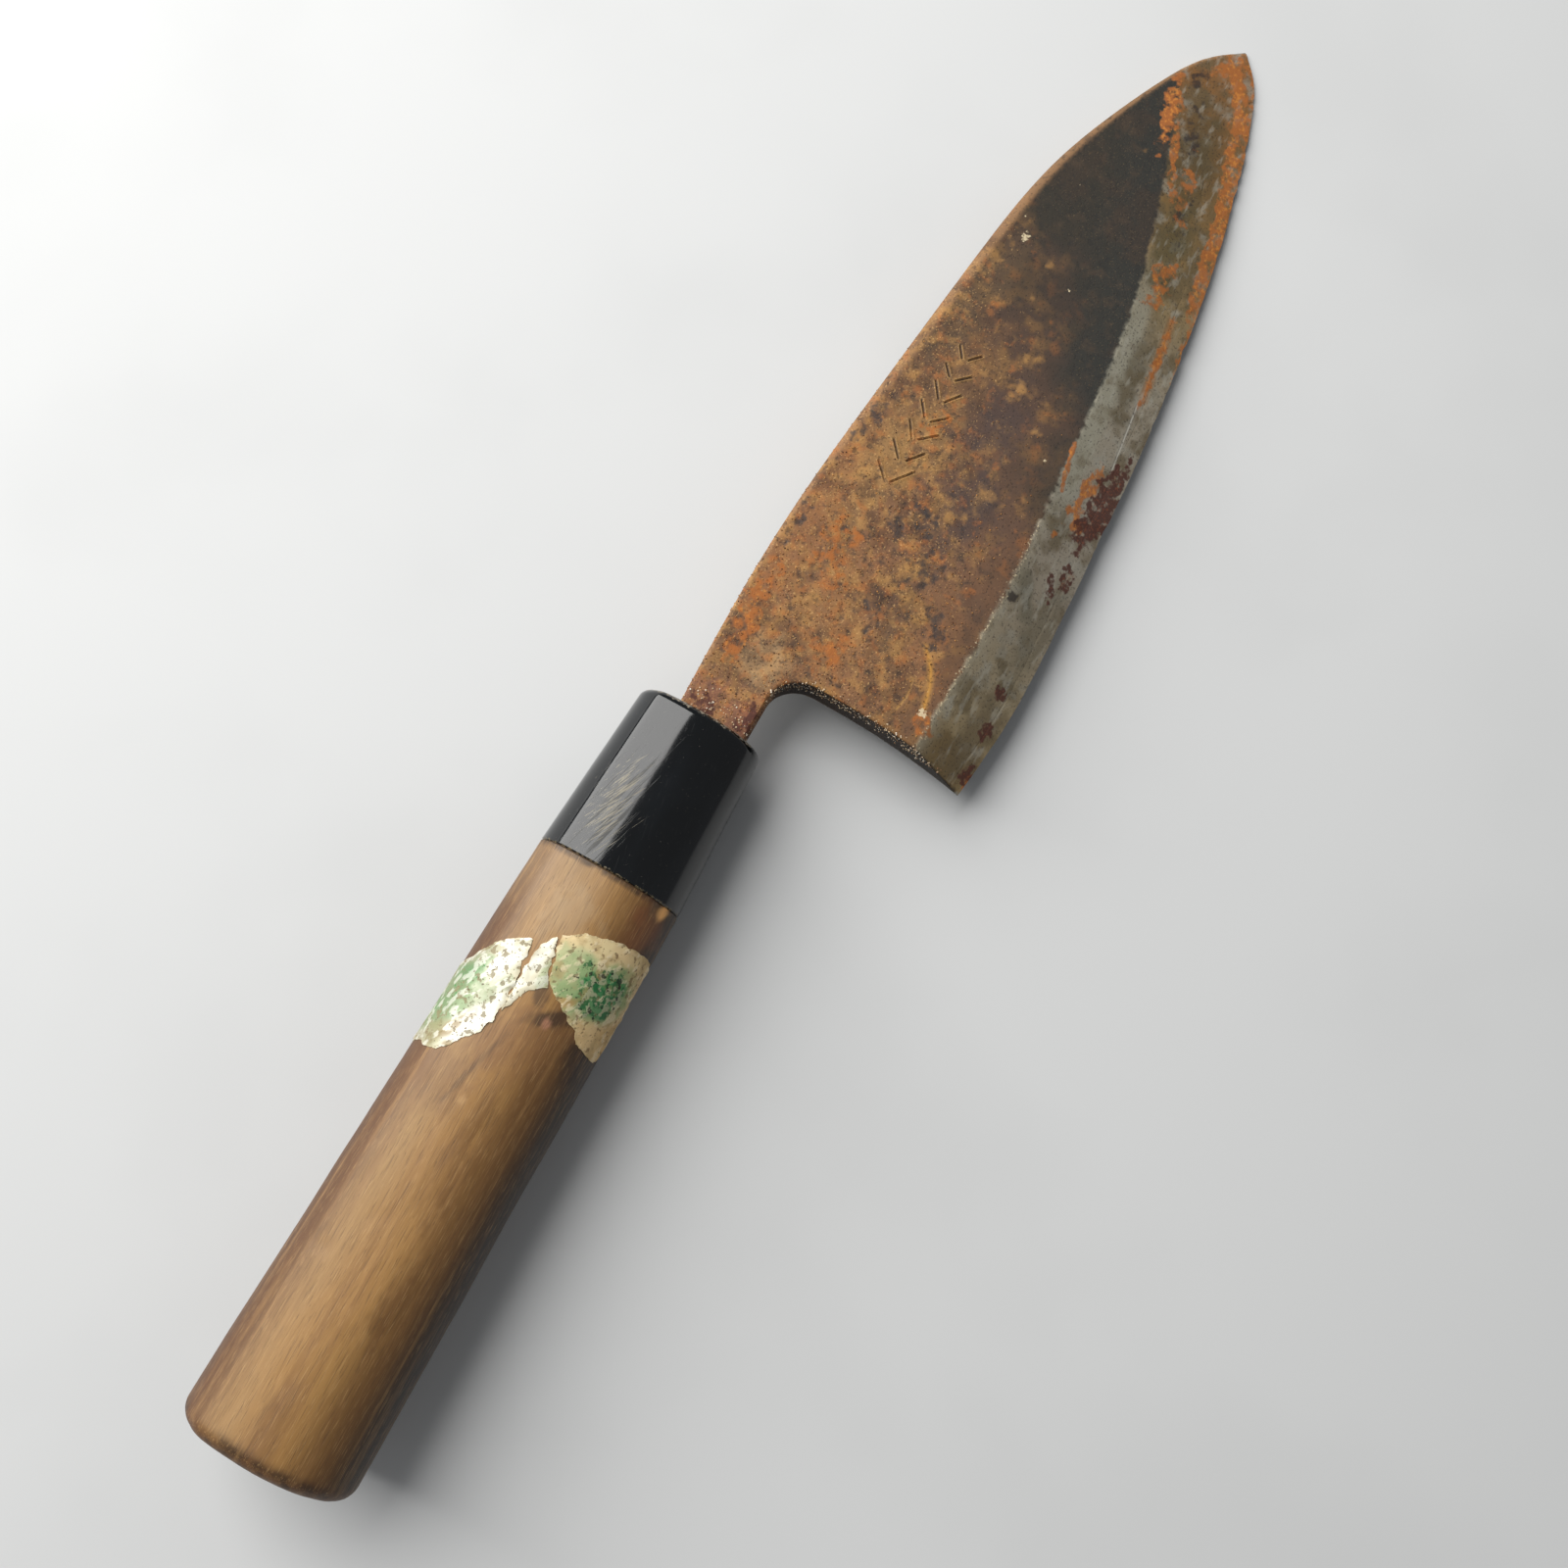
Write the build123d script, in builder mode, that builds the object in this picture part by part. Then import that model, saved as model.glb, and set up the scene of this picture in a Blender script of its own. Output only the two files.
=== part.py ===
"""Small single-bevel kitchen knife of the deba type, with a hidden stick tang in a wooden handle.

Lengths are millimetres. The knife lies on its side with the bevelled face up: +X runs along the
handle axis towards the tip, +Y towards the spine and +Z up. The origin is on the resting plane,
under the middle of the knife's box. Inside the script, a "station" is a distance along +X from
the front of the ferrule, and widths and heights are counted from the handle axis.
"""

import os

from build123d import *

os.makedirs("parts", exist_ok=True)

# ---- Handle and ferrule ------------------------------------------------------------------------
handle_length = 125.0  # ferrule front to butt
ferrule_length = 29.0
mouth_width = 21.8  # ferrule at its front
mouth_height = 17.8
seam_width = 24.6  # where ferrule and wood meet
seam_height = 19.4
butt_width = 27.8
butt_height = 22.6
ridge_across = 0.335  # ridge of the chestnut section, as shares of its width and height
ridge_up = 0.43
ridge_radius = 2.0
mouth_rounding = 1.4
butt_rounding = 2.6

# ---- Joint of ferrule, wood and tang -----------------------------------------------------------
ferrule_wall = 3.0  # round the tenon, at the mouth
ferrule_cap = 5.0  # front wall that the tang passes through
tenon_gap = 0.05  # glue line round the tenon
tenon_end_gap = 0.3
tang_length = 98.0  # behind the ferrule front
tang_end_width = 5.0
tang_end_thickness = 3.0
tang_end_y = -0.5
tang_gap = 0.25  # burnt-in slot in the wood, each side of the tang
tang_end_gap = 2.0
seal_gap = 0.7  # resin between tang and ferrule, each side
seal_recess = 0.3
seal_depth = 3.0

# ---- Blade -------------------------------------------------------------------------------------
blade_length = 162.0  # ferrule front to tip
tip_y = -22.2
heel_x = 11.4
heel_y = -41.6
neck_top = 4.5  # spine side of the neck where it enters the ferrule
neck_bottom = -7.3
neck_length = 8.2  # straight underside of the neck
choil_x = 13.6  # deepest part of the hollowed heel face
choil_round = 6.0
edge_thickness = 0.35
spine_thickness = 7.0  # at the neck
spine_chamfer = 0.7
steel_thickness = 1.7  # hard steel plate on the flat back
steel_start = 6.0
hollow_depth = 0.35  # hollow-ground back
hollow_start = 19.0  # from the ferrule
hollow_end = 25.0  # from the tip
hollow_width = 30.0
hollow_centre_y = -20.0

# Blade stations: share of the blade's length from the ferrule, bevel line, cutting edge, and share
# of the neck's thickness. The first and last lie outside the blade and only guide its ground faces.
stations = [
    (0.0, -31.0, -42.6, 1.0),
    (0.154, -32.0, -43.0, 0.97),
    (0.284, -32.1, -42.8, 0.91),
    (0.432, -30.5, -41.7, 0.81),
    (0.6, -28.1, -39.5, 0.69),
    (0.74, -23.2, -36.4, 0.57),
    (0.84, -18.5, -33.2, 0.47),
    (0.92, -14.3, -29.7, 0.39),
    (0.972, -11.5, -26.0, 0.35),
    (1.02, -9.0, -19.5, 0.33),
]
# Spine points: share of the blade's length from the ferrule, and height of the spine.
spine_points = [
    (0.204, 5.3),
    (0.4, 3.5),
    (0.6, 0.8),
    (0.75, -2.7),
    (0.84, -7.4),
    (0.926, -13.3),
    (0.972, -17.8),
]

# ---- Torn label on the grip --------------------------------------------------------------------
label_thickness = 0.15
label_drop = 3.0  # how far the label wraps below the handle axis
label_outlines = {
    "label_spine_side": [
        (-64.8, 16.0),
        (-64.0, 8.2),
        (-56.8, 3.4),
        (-45.2, 4.2),
        (-44.0, 6.2),
        (-51.5, 16.0),
    ],
    "label_middle": [
        (-55.8, 2.7),
        (-51.8, 2.2),
        (-48.2, 0.2),
        (-44.0, 0.6),
        (-42.2, 1.9),
        (-45.4, 3.2),
    ],
    "label_edge_side": [
        (-41.0, 0.4),
        (-38.0, -5.0),
        (-37.0, -16.0),
        (-54.8, -16.0),
        (-53.2, -8.8),
        (-48.0, -2.4),
    ],
}

# ---- Frame -------------------------------------------------------------------------------------
edge_depth = max(-station[2] for station in stations)
mouth_x = handle_length - (handle_length + blade_length) / 2
rounding_share = butt_rounding / (handle_length - ferrule_length)
widest = butt_width + rounding_share * (seam_width - butt_width)
highest = butt_height + rounding_share * (seam_height - butt_height)
axis_y = (edge_depth - widest / 2) / 2
axis_z = highest / 2
back_z = -spine_thickness / 2  # flat back of the blade, from the handle axis
neck_width = neck_top - neck_bottom
neck_y = (neck_top + neck_bottom) / 2
tenon_width = mouth_width - 2 * ferrule_wall
tenon_height = mouth_height - 2 * ferrule_wall
reach = handle_length + blade_length  # longer than anything that is trimmed with it


def across(station_x):
    """Plane square to the handle axis: its x runs towards the spine, its y upwards."""
    return Plane(origin=(mouth_x + station_x, axis_y, axis_z), x_dir=(0, 1, 0), z_dir=(1, 0, 0))


def level(z):
    """Horizontal plane at a height above the handle axis, with stations along its x."""
    return Plane(origin=(mouth_x, axis_y, axis_z + z), x_dir=(1, 0, 0), z_dir=(0, 0, 1))


def grip_section(station_x, width, height):
    """Chestnut section of the handle: an oval with one soft ridge on the upper spine side."""
    ridge = (ridge_across * width, ridge_up * height)
    with BuildSketch(across(station_x)) as section:
        with BuildLine():
            oval = EllipticalCenterArc((0, 0), width / 2, height / 2, start_angle=90, arc_size=270)
            TangentArc(oval @ 1, ridge, tangent=oval % 1)
            TangentArc(oval @ 0, ridge, tangent=(1, 0))
        make_face()
        fillet(section.vertices().sort_by_distance(Vector(*ridge))[0], ridge_radius)
    return section.sketch


def tang_section(station_x, gap):
    """Section of the tapering tang, grown by a gap on each side."""
    share = -station_x / tang_length
    width = neck_width + share * (tang_end_width - neck_width)
    thickness = spine_thickness + share * (tang_end_thickness - spine_thickness)
    centre_y = neck_y + share * (tang_end_y - neck_y)
    with BuildSketch(across(station_x)) as section:
        with Locations((centre_y, 0)):
            Rectangle(width + 2 * gap, thickness + 2 * gap)
    return section.sketch


def ground_section(length_share, bevel_y, edge_y, thickness_share):
    """Section of the ground blade: flat back, upper face and bevel, wider than the outline."""
    thickness = thickness_share * spine_thickness
    run_out = (bevel_y - edge_y) * edge_thickness / (thickness - edge_thickness)
    with BuildSketch(across(length_share * blade_length)) as section:
        with BuildLine():
            Polyline(
                (butt_width, back_z),
                (butt_width, back_z + thickness),
                (bevel_y, back_z + thickness),
                (edge_y - run_out, back_z),
                close=True,
            )
        make_face()
    return section.sketch


# ---- Blade blank: outline, then the ground faces -------------------------------------------------
with BuildPart() as blank:
    with BuildSketch(level(back_z)):
        with BuildLine():
            Spline(
                (0, neck_top),
                *[(share * blade_length, spine_y) for share, spine_y in spine_points],
                (blade_length, tip_y),
            )
            Spline(
                (heel_x, heel_y),
                *[(share * blade_length, edge_y) for share, _, edge_y, _ in stations[1:-1]],
                (blade_length, tip_y),
            )
            Line((0, neck_top), (0, neck_bottom))
            neck = Line((0, neck_bottom), (neck_length, neck_bottom))
            corner = TangentArc(neck @ 1, (choil_x, neck_bottom - choil_round), tangent=neck % 1)
            Spline(corner @ 1, (heel_x, heel_y), tangents=(corner % 1, (-0.2, -1)))
        make_face()
    extrude(amount=spine_thickness)
    loft(sections=[ground_section(*station).face() for station in stations], mode=Mode.INTERSECT)
    upper_spine = (
        blank.edges().filter_by(lambda e: e.length > blade_length / 2).sort_by(Axis.Y)[-2:]
    ).sort_by(Axis.Z)[-1]
    chamfer(upper_spine, spine_chamfer)

# ---- Hard steel plate that carries the edge, with its hollow-ground back ---------------------------
hollow_length = blade_length - hollow_start - hollow_end
hollow_centre_x = hollow_start + hollow_length / 2
hollow_radius_y = (hollow_width**2 / 4 + hollow_depth**2) / (2 * hollow_depth)
hollow_axis_z = back_z + hollow_depth - hollow_radius_y

with BuildPart() as plate:
    with BuildSketch(level(back_z)):
        with Locations((steel_start, 0)):
            Rectangle(reach, reach, align=(Align.MIN, Align.CENTER))
    extrude(amount=steel_thickness)

with BuildPart() as edge_steel:
    add(blank.part)
    add(plate.part, mode=Mode.INTERSECT)
    hollow_plane = Plane(
        origin=(mouth_x + hollow_centre_x, axis_y + hollow_centre_y, axis_z + hollow_axis_z),
        x_dir=(1, 0, 0),
        z_dir=(0, -1, 0),
    )
    with BuildSketch(hollow_plane):
        with BuildLine():
            crown = ThreePointArc(
                (-hollow_length / 2, hollow_radius_y - hollow_depth),
                (0, hollow_radius_y),
                (hollow_length / 2, hollow_radius_y - hollow_depth),
            )
            Polyline(crown @ 1, (hollow_length / 2, 0), (-hollow_length / 2, 0), crown @ 0)
        make_face()
    revolve(axis=Axis(hollow_plane.origin, hollow_plane.x_dir), mode=Mode.SUBTRACT)
edge_steel.part.label = "edge_steel"

# ---- Soft iron body with the neck and the tang -----------------------------------------------------
with BuildPart() as blade_body:
    add(blank.part)
    add(plate.part, mode=Mode.SUBTRACT)
    loft(sections=[tang_section(0, 0).face(), tang_section(-tang_length, 0).face()])
blade_body.part.label = "blade_body"

# ---- Ferrule: a closed cap with a slot for the tang and a socket for the tenon ---------------------
with BuildPart() as ferrule:
    loft(
        sections=[
            grip_section(-ferrule_length, seam_width, seam_height).face(),
            grip_section(0, mouth_width, mouth_height).face(),
        ]
    )
    fillet(ferrule.faces().sort_by(Axis.X)[-1].edges(), mouth_rounding)
    with BuildSketch(across(-ferrule_length)):
        Ellipse(tenon_width / 2, tenon_height / 2)
    extrude(amount=ferrule_length - ferrule_cap, mode=Mode.SUBTRACT)
    loft(
        sections=[tang_section(0, seal_gap).face(), tang_section(-ferrule_length, seal_gap).face()],
        mode=Mode.SUBTRACT,
    )
ferrule.part.label = "ferrule"

# ---- Resin seal round the tang at the mouth --------------------------------------------------------
with BuildPart() as tang_seal:
    loft(
        sections=[
            tang_section(-seal_recess, seal_gap).face(),
            tang_section(-seal_recess - seal_depth, seal_gap).face(),
        ]
    )
    loft(
        sections=[tang_section(0, 0).face(), tang_section(-ferrule_length, 0).face()],
        mode=Mode.SUBTRACT,
    )
tang_seal.part.label = "tang_seal"


# ---- Wooden grip with its tenon and burnt-in tang slot ---------------------------------------------
def grip_blank(growth):
    """The wood behind the ferrule, grown all round by a skin's thickness."""
    with BuildPart() as wood:
        loft(
            sections=[
                grip_section(
                    -handle_length, butt_width + 2 * growth, butt_height + 2 * growth
                ).face(),
                grip_section(
                    -ferrule_length, seam_width + 2 * growth, seam_height + 2 * growth
                ).face(),
            ]
        )
    return wood.part


with BuildPart() as grip:
    add(grip_blank(0))
    fillet(grip.faces().sort_by(Axis.X)[0].edges(), butt_rounding)
    with BuildSketch(across(-ferrule_length)):
        Ellipse(tenon_width / 2 - tenon_gap, tenon_height / 2 - tenon_gap)
    extrude(amount=ferrule_length - ferrule_cap - tenon_end_gap)
    loft(
        sections=[
            tang_section(0, tang_gap).face(),
            tang_section(-tang_length - tang_end_gap, tang_gap).face(),
        ],
        mode=Mode.SUBTRACT,
    )
grip.part.label = "grip"

# ---- What is left of the torn label: thin skins on the upper side of the grip ----------------------
for label_name, outline in label_outlines.items():
    with BuildPart() as fragment:
        with BuildSketch(level(-label_drop)):
            with BuildLine():
                Polyline(*outline, close=True)
            make_face()
        extrude(amount=butt_height)
        add(grip_blank(label_thickness), mode=Mode.INTERSECT)
        add(grip_blank(0), mode=Mode.SUBTRACT)
    fragment.part.label = label_name
    export_step(fragment.part, f"parts/{label_name}.step")

export_step(blade_body.part, "parts/blade_body.step")
export_step(edge_steel.part, "parts/edge_steel.step")
export_step(ferrule.part, "parts/ferrule.step")
export_step(tang_seal.part, "parts/tang_seal.step")
export_step(grip.part, "parts/grip.step")
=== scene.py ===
"""Looks of a used kitchen knife of the deba type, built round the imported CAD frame.

Lengths are millimetres in the knife's own frame unless a name says otherwise: a "station" is a
distance along +X from the front of the ferrule, and y and z are counted from the handle axis.
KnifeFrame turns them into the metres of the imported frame.
"""

import logging
import math
from collections.abc import Callable, Sequence
from dataclasses import dataclass, field
from enum import Enum

import bmesh
import bpy
import numpy as np
from bpy.types import Material, Mesh, Node, NodeSocket, NodeTree, Object
from mathutils import Matrix, Vector, kdtree, noise
from mathutils.geometry import delaunay_2d_cdt


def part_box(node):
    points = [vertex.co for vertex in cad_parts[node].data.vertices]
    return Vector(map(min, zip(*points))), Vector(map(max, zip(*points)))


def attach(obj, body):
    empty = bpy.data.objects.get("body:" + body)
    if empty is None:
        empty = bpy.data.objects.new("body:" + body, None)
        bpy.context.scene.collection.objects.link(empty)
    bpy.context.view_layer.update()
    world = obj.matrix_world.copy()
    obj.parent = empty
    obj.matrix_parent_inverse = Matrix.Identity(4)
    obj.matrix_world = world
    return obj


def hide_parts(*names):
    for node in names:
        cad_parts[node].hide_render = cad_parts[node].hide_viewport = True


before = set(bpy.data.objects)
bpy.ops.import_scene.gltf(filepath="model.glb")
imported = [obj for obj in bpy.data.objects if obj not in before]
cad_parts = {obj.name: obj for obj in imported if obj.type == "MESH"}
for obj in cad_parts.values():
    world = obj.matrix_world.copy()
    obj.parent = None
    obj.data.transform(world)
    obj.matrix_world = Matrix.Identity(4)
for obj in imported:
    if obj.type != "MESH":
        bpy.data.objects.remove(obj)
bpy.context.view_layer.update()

Array = np.ndarray
Point = tuple[float, float]

MM_PER_M = 1000.0
BODY = "root"
SHARP_ANGLE = math.radians(38)

log = logging.getLogger("deba")


# ---- Numbers and curves ----


def linear(colour: str) -> tuple[float, float, float, float]:
    """Turns an sRGB hex colour into the linear values that shaders use.

    Args:
        colour: such as "#7b5836".

    Returns:
        Red, green, blue and an alpha of 1.
    """
    parts = [int(colour[i : i + 2], 16) / 255 for i in (1, 3, 5)]
    red, green, blue = (p / 12.92 if p <= 0.04045 else ((p + 0.055) / 1.055) ** 2.4 for p in parts)
    return (red, green, blue, 1.0)


def ramp(low: float, high: float, value: Array) -> Array:
    """Rises softly from 0 at low to 1 at high, or falls where high is the lower one.

    Args:
        low: value that gives 0.
        high: value that gives 1.
        value: numbers to turn into shares.

    Returns:
        Shares from 0 to 1.
    """
    share = np.clip((value - low) / (high - low), 0, 1)
    return share * share * (3 - 2 * share)


def bell(value: Array, middle: float, width: float) -> Array:
    """Peaks softly: 1 at the middle, 0.37 at a width from it, 0 far off."""
    return np.exp(-(((value - middle) / width) ** 2))


def spline_through(knots: Sequence[float], values: Sequence) -> Callable[[Array], Array]:
    """Makes the natural cubic spline through some values.

    Args:
        knots: rising places of the values.
        values: a number or a point at each knot.

    Returns:
        A function that gives the spline's value at any places.
    """
    at = np.asarray(knots, float)
    v = np.asarray(values, float)
    gap = np.diff(at)
    count = len(at)
    matrix = np.eye(count)
    right = np.zeros_like(v)
    for i in range(1, count - 1):
        matrix[i, i - 1 : i + 2] = gap[i - 1], 2 * (gap[i - 1] + gap[i]), gap[i]
        right[i] = 6 * ((v[i + 1] - v[i]) / gap[i] - (v[i] - v[i - 1]) / gap[i - 1])
    bend = np.linalg.solve(matrix, right)

    def value(places: Array) -> Array:
        """Gives the spline's value at some places.

        Args:
            places: where.

        Returns:
            A value for each place.
        """
        x = np.asarray(places, float)
        i = np.clip(np.searchsorted(at, x) - 1, 0, count - 2)
        g = gap[i]
        a = (at[i + 1] - x) / g
        b = (x - at[i]) / g
        if v.ndim > 1:
            a, b, g = a[:, None], b[:, None], g[:, None]
        curve = ((a**3 - a) * bend[i] + (b**3 - b) * bend[i + 1]) * g * g / 6
        return a * v[i] + b * v[i + 1] + curve

    return value


def even_steps(points: Sequence[Point], step: float) -> Array:
    """Divides a line of straight runs into even steps, keeping both ends.

    Args:
        points: corners of the line.
        step: wanted length of a step.

    Returns:
        Points along the line.
    """
    line = np.asarray(points, float)
    travelled = np.concatenate([[0], np.cumsum(np.linalg.norm(np.diff(line, axis=0), axis=1))])
    count = max(2, int(round(travelled[-1] / step)) + 1)
    wanted = np.linspace(0, travelled[-1], count)
    return np.column_stack([np.interp(wanted, travelled, line[:, i]) for i in range(line.shape[1])])


def curve_through(points: Sequence[Point], step: float) -> Array:
    """Draws a smooth curve through a few points, in even steps.

    Args:
        points: what the curve passes through.
        step: wanted length of a step.

    Returns:
        Points along the curve.
    """
    through = np.asarray(points, float)
    knots = np.concatenate([[0], np.cumsum(np.linalg.norm(np.diff(through, axis=0), axis=1))])
    fine = spline_through(knots, through)(np.linspace(0, knots[-1], 12 * len(through)))
    return even_steps(fine, step)


def away_from(points: Array, line: Array) -> Array:
    """Measures how far points are from a line of straight runs.

    Args:
        points: places in plan.
        line: corners of the line.

    Returns:
        The shortest distance of each point.
    """
    nearest = np.full(len(points), np.inf)
    for start, end in zip(line[:-1], line[1:]):
        run = end - start
        share = np.clip((points - start) @ run / max(run @ run, 1e-12), 0, 1)
        gap = points - start - share[:, None] * run
        nearest = np.minimum(nearest, np.einsum("ij,ij->i", gap, gap))
    return np.sqrt(nearest)


def inside(points: Array, loop: Array) -> Array:
    """Tells which points lie inside a closed loop.

    Args:
        points: places in plan.
        loop: corners of the loop.

    Returns:
        True for each point inside.
    """
    found = np.zeros(len(points), bool)
    for (x0, y0), (x1, y1) in zip(loop, np.roll(loop, -1, axis=0)):
        if y0 == y1:
            continue
        crosses = (y0 > points[:, 1]) != (y1 > points[:, 1])
        found ^= crosses & (points[:, 0] < x0 + (points[:, 1] - y0) * (x1 - x0) / (y1 - y0))
    return found


def cloud(points: Array, size: float, octaves: int = 3, layer: int = 0) -> Array:
    """Smooth noise at some points, the same on every run.

    Args:
        points: places in plan or in space.
        size: typical width of a lump.
        octaves: how many finer copies are added.
        layer: another number gives another pattern.

    Returns:
        Values of about -1 to 1.
    """
    spread = np.zeros((len(points), 3))
    spread[:, : points.shape[1]] = points / size
    spread[:, 2] += 17.31 * layer
    return np.array([noise.fractal(Vector(p), 0.8, 2.1, octaves) for p in spread])


# ---- Frame ----


@dataclass(frozen=True)
class KnifeFrame:
    """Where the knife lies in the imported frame, in millimetres.

    Args:
        mouth_x: front of the ferrule.
        axis_y: handle axis, towards the spine.
        axis_z: handle axis, upwards.
        tip_station: the tip, from the ferrule's front.
    """

    mouth_x: float
    axis_y: float
    axis_z: float
    tip_station: float

    @classmethod
    def from_nodes(cls) -> "KnifeFrame":
        """Reads the places from the CAD nodes of the ferrule and the edge steel.

        Returns:
            The frame of this knife.
        """
        low, high = (corner * MM_PER_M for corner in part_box("ferrule"))
        tip_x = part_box("edge_steel")[1].x * MM_PER_M
        return cls(high.x, (low.y + high.y) / 2, (low.z + high.z) / 2, tip_x - high.x)

    @property
    def origin(self) -> Array:
        """The ferrule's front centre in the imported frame."""
        return np.array([self.mouth_x, self.axis_y, self.axis_z])

    def metres(self, points: Array) -> Array:
        """Turns points of the knife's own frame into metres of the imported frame."""
        return (np.asarray(points, float) + self.origin) / MM_PER_M


# ---- Nodes and finishes ----


def add_node(
    tree: NodeTree, kind: str, settings: dict | None = None, inputs: dict | None = None,
) -> Node:
    """Adds a node with its settings and links.

    Args:
        tree: where the node goes.
        kind: the node's type.
        settings: the node's own properties.
        inputs: by name or number, a value or the socket that it is linked to.

    Returns:
        The new node.
    """
    node = tree.nodes.new(kind)
    for name, value in (settings or {}).items():
        setattr(node, name, value)
    for name, value in (inputs or {}).items():
        if isinstance(value, NodeSocket):
            tree.links.new(value, node.inputs[name])
        else:
            node.inputs[name].default_value = value
    return node


def maths(tree: NodeTree, operation: str, *terms: float | NodeSocket) -> NodeSocket:
    """Adds one sum of numbers and sockets, and gives its result."""
    node = add_node(tree, "ShaderNodeMath", {"operation": operation}, dict(enumerate(terms)))
    return node.outputs[0]


def start_tree(
    name: str, inputs: dict[str, str], output: str,
) -> tuple[NodeTree, bpy.types.bpy_prop_collection]:
    """Starts a tree of geometry nodes.

    Args:
        name: of the tree.
        inputs: by name, the kind of each socket.
        output: name of the geometry that comes out.

    Returns:
        The tree, and the sockets that its inputs come from.
    """
    tree = bpy.data.node_groups.new(name, "GeometryNodeTree")
    for title, kind in inputs.items():
        tree.interface.new_socket(title, in_out="INPUT", socket_type="NodeSocket" + kind)
    tree.interface.new_socket(output, in_out="OUTPUT", socket_type="NodeSocketGeometry")
    return tree, add_node(tree, "NodeGroupInput").outputs


def end_tree(tree: NodeTree, shape: NodeSocket, material: NodeSocket) -> None:
    """Makes instances real, gives them their material and sends them out.

    Args:
        tree: the tree.
        shape: what it has made.
        material: the input that holds the material.
    """
    real = add_node(tree, "GeometryNodeRealizeInstances", None, {"Geometry": shape}).outputs[0]
    dressed = add_node(tree, "GeometryNodeSetMaterial", None, {"Geometry": real, "Material": material})
    add_node(tree, "NodeGroupOutput", None, {0: dressed.outputs[0]})


@dataclass(frozen=True)
class Patch:
    """One colour that comes through in patches of a pattern.

    Args:
        colour: sRGB hex.
        size: typical width of a patch.
        start: pattern value where the patch begins, 0 to 1.
        full: pattern value where it covers fully.
        region: mesh attribute that says where it may come; empty is everywhere.
        reach: how much of the pattern is lost where the region is 0.
        strength: cover at its fullest.
        stretch: how much longer the patches are along x, y and z.
        turn: degrees about +Z that the pattern is turned.
        detail: finer copies of the pattern.
        roughness: of the patch; None leaves it.
        metal: of the patch; None leaves it.
        relief: height of the patch, negative for a pit.
    """

    colour: str
    size: float
    start: float
    full: float
    region: str = ""
    reach: float = 0.6
    strength: float = 1.0
    stretch: tuple[float, float, float] = (1.0, 1.0, 1.0)
    turn: float = 0.0
    detail: float = 3.0
    roughness: float | None = None
    metal: float | None = None
    relief: float = 0.0


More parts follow.
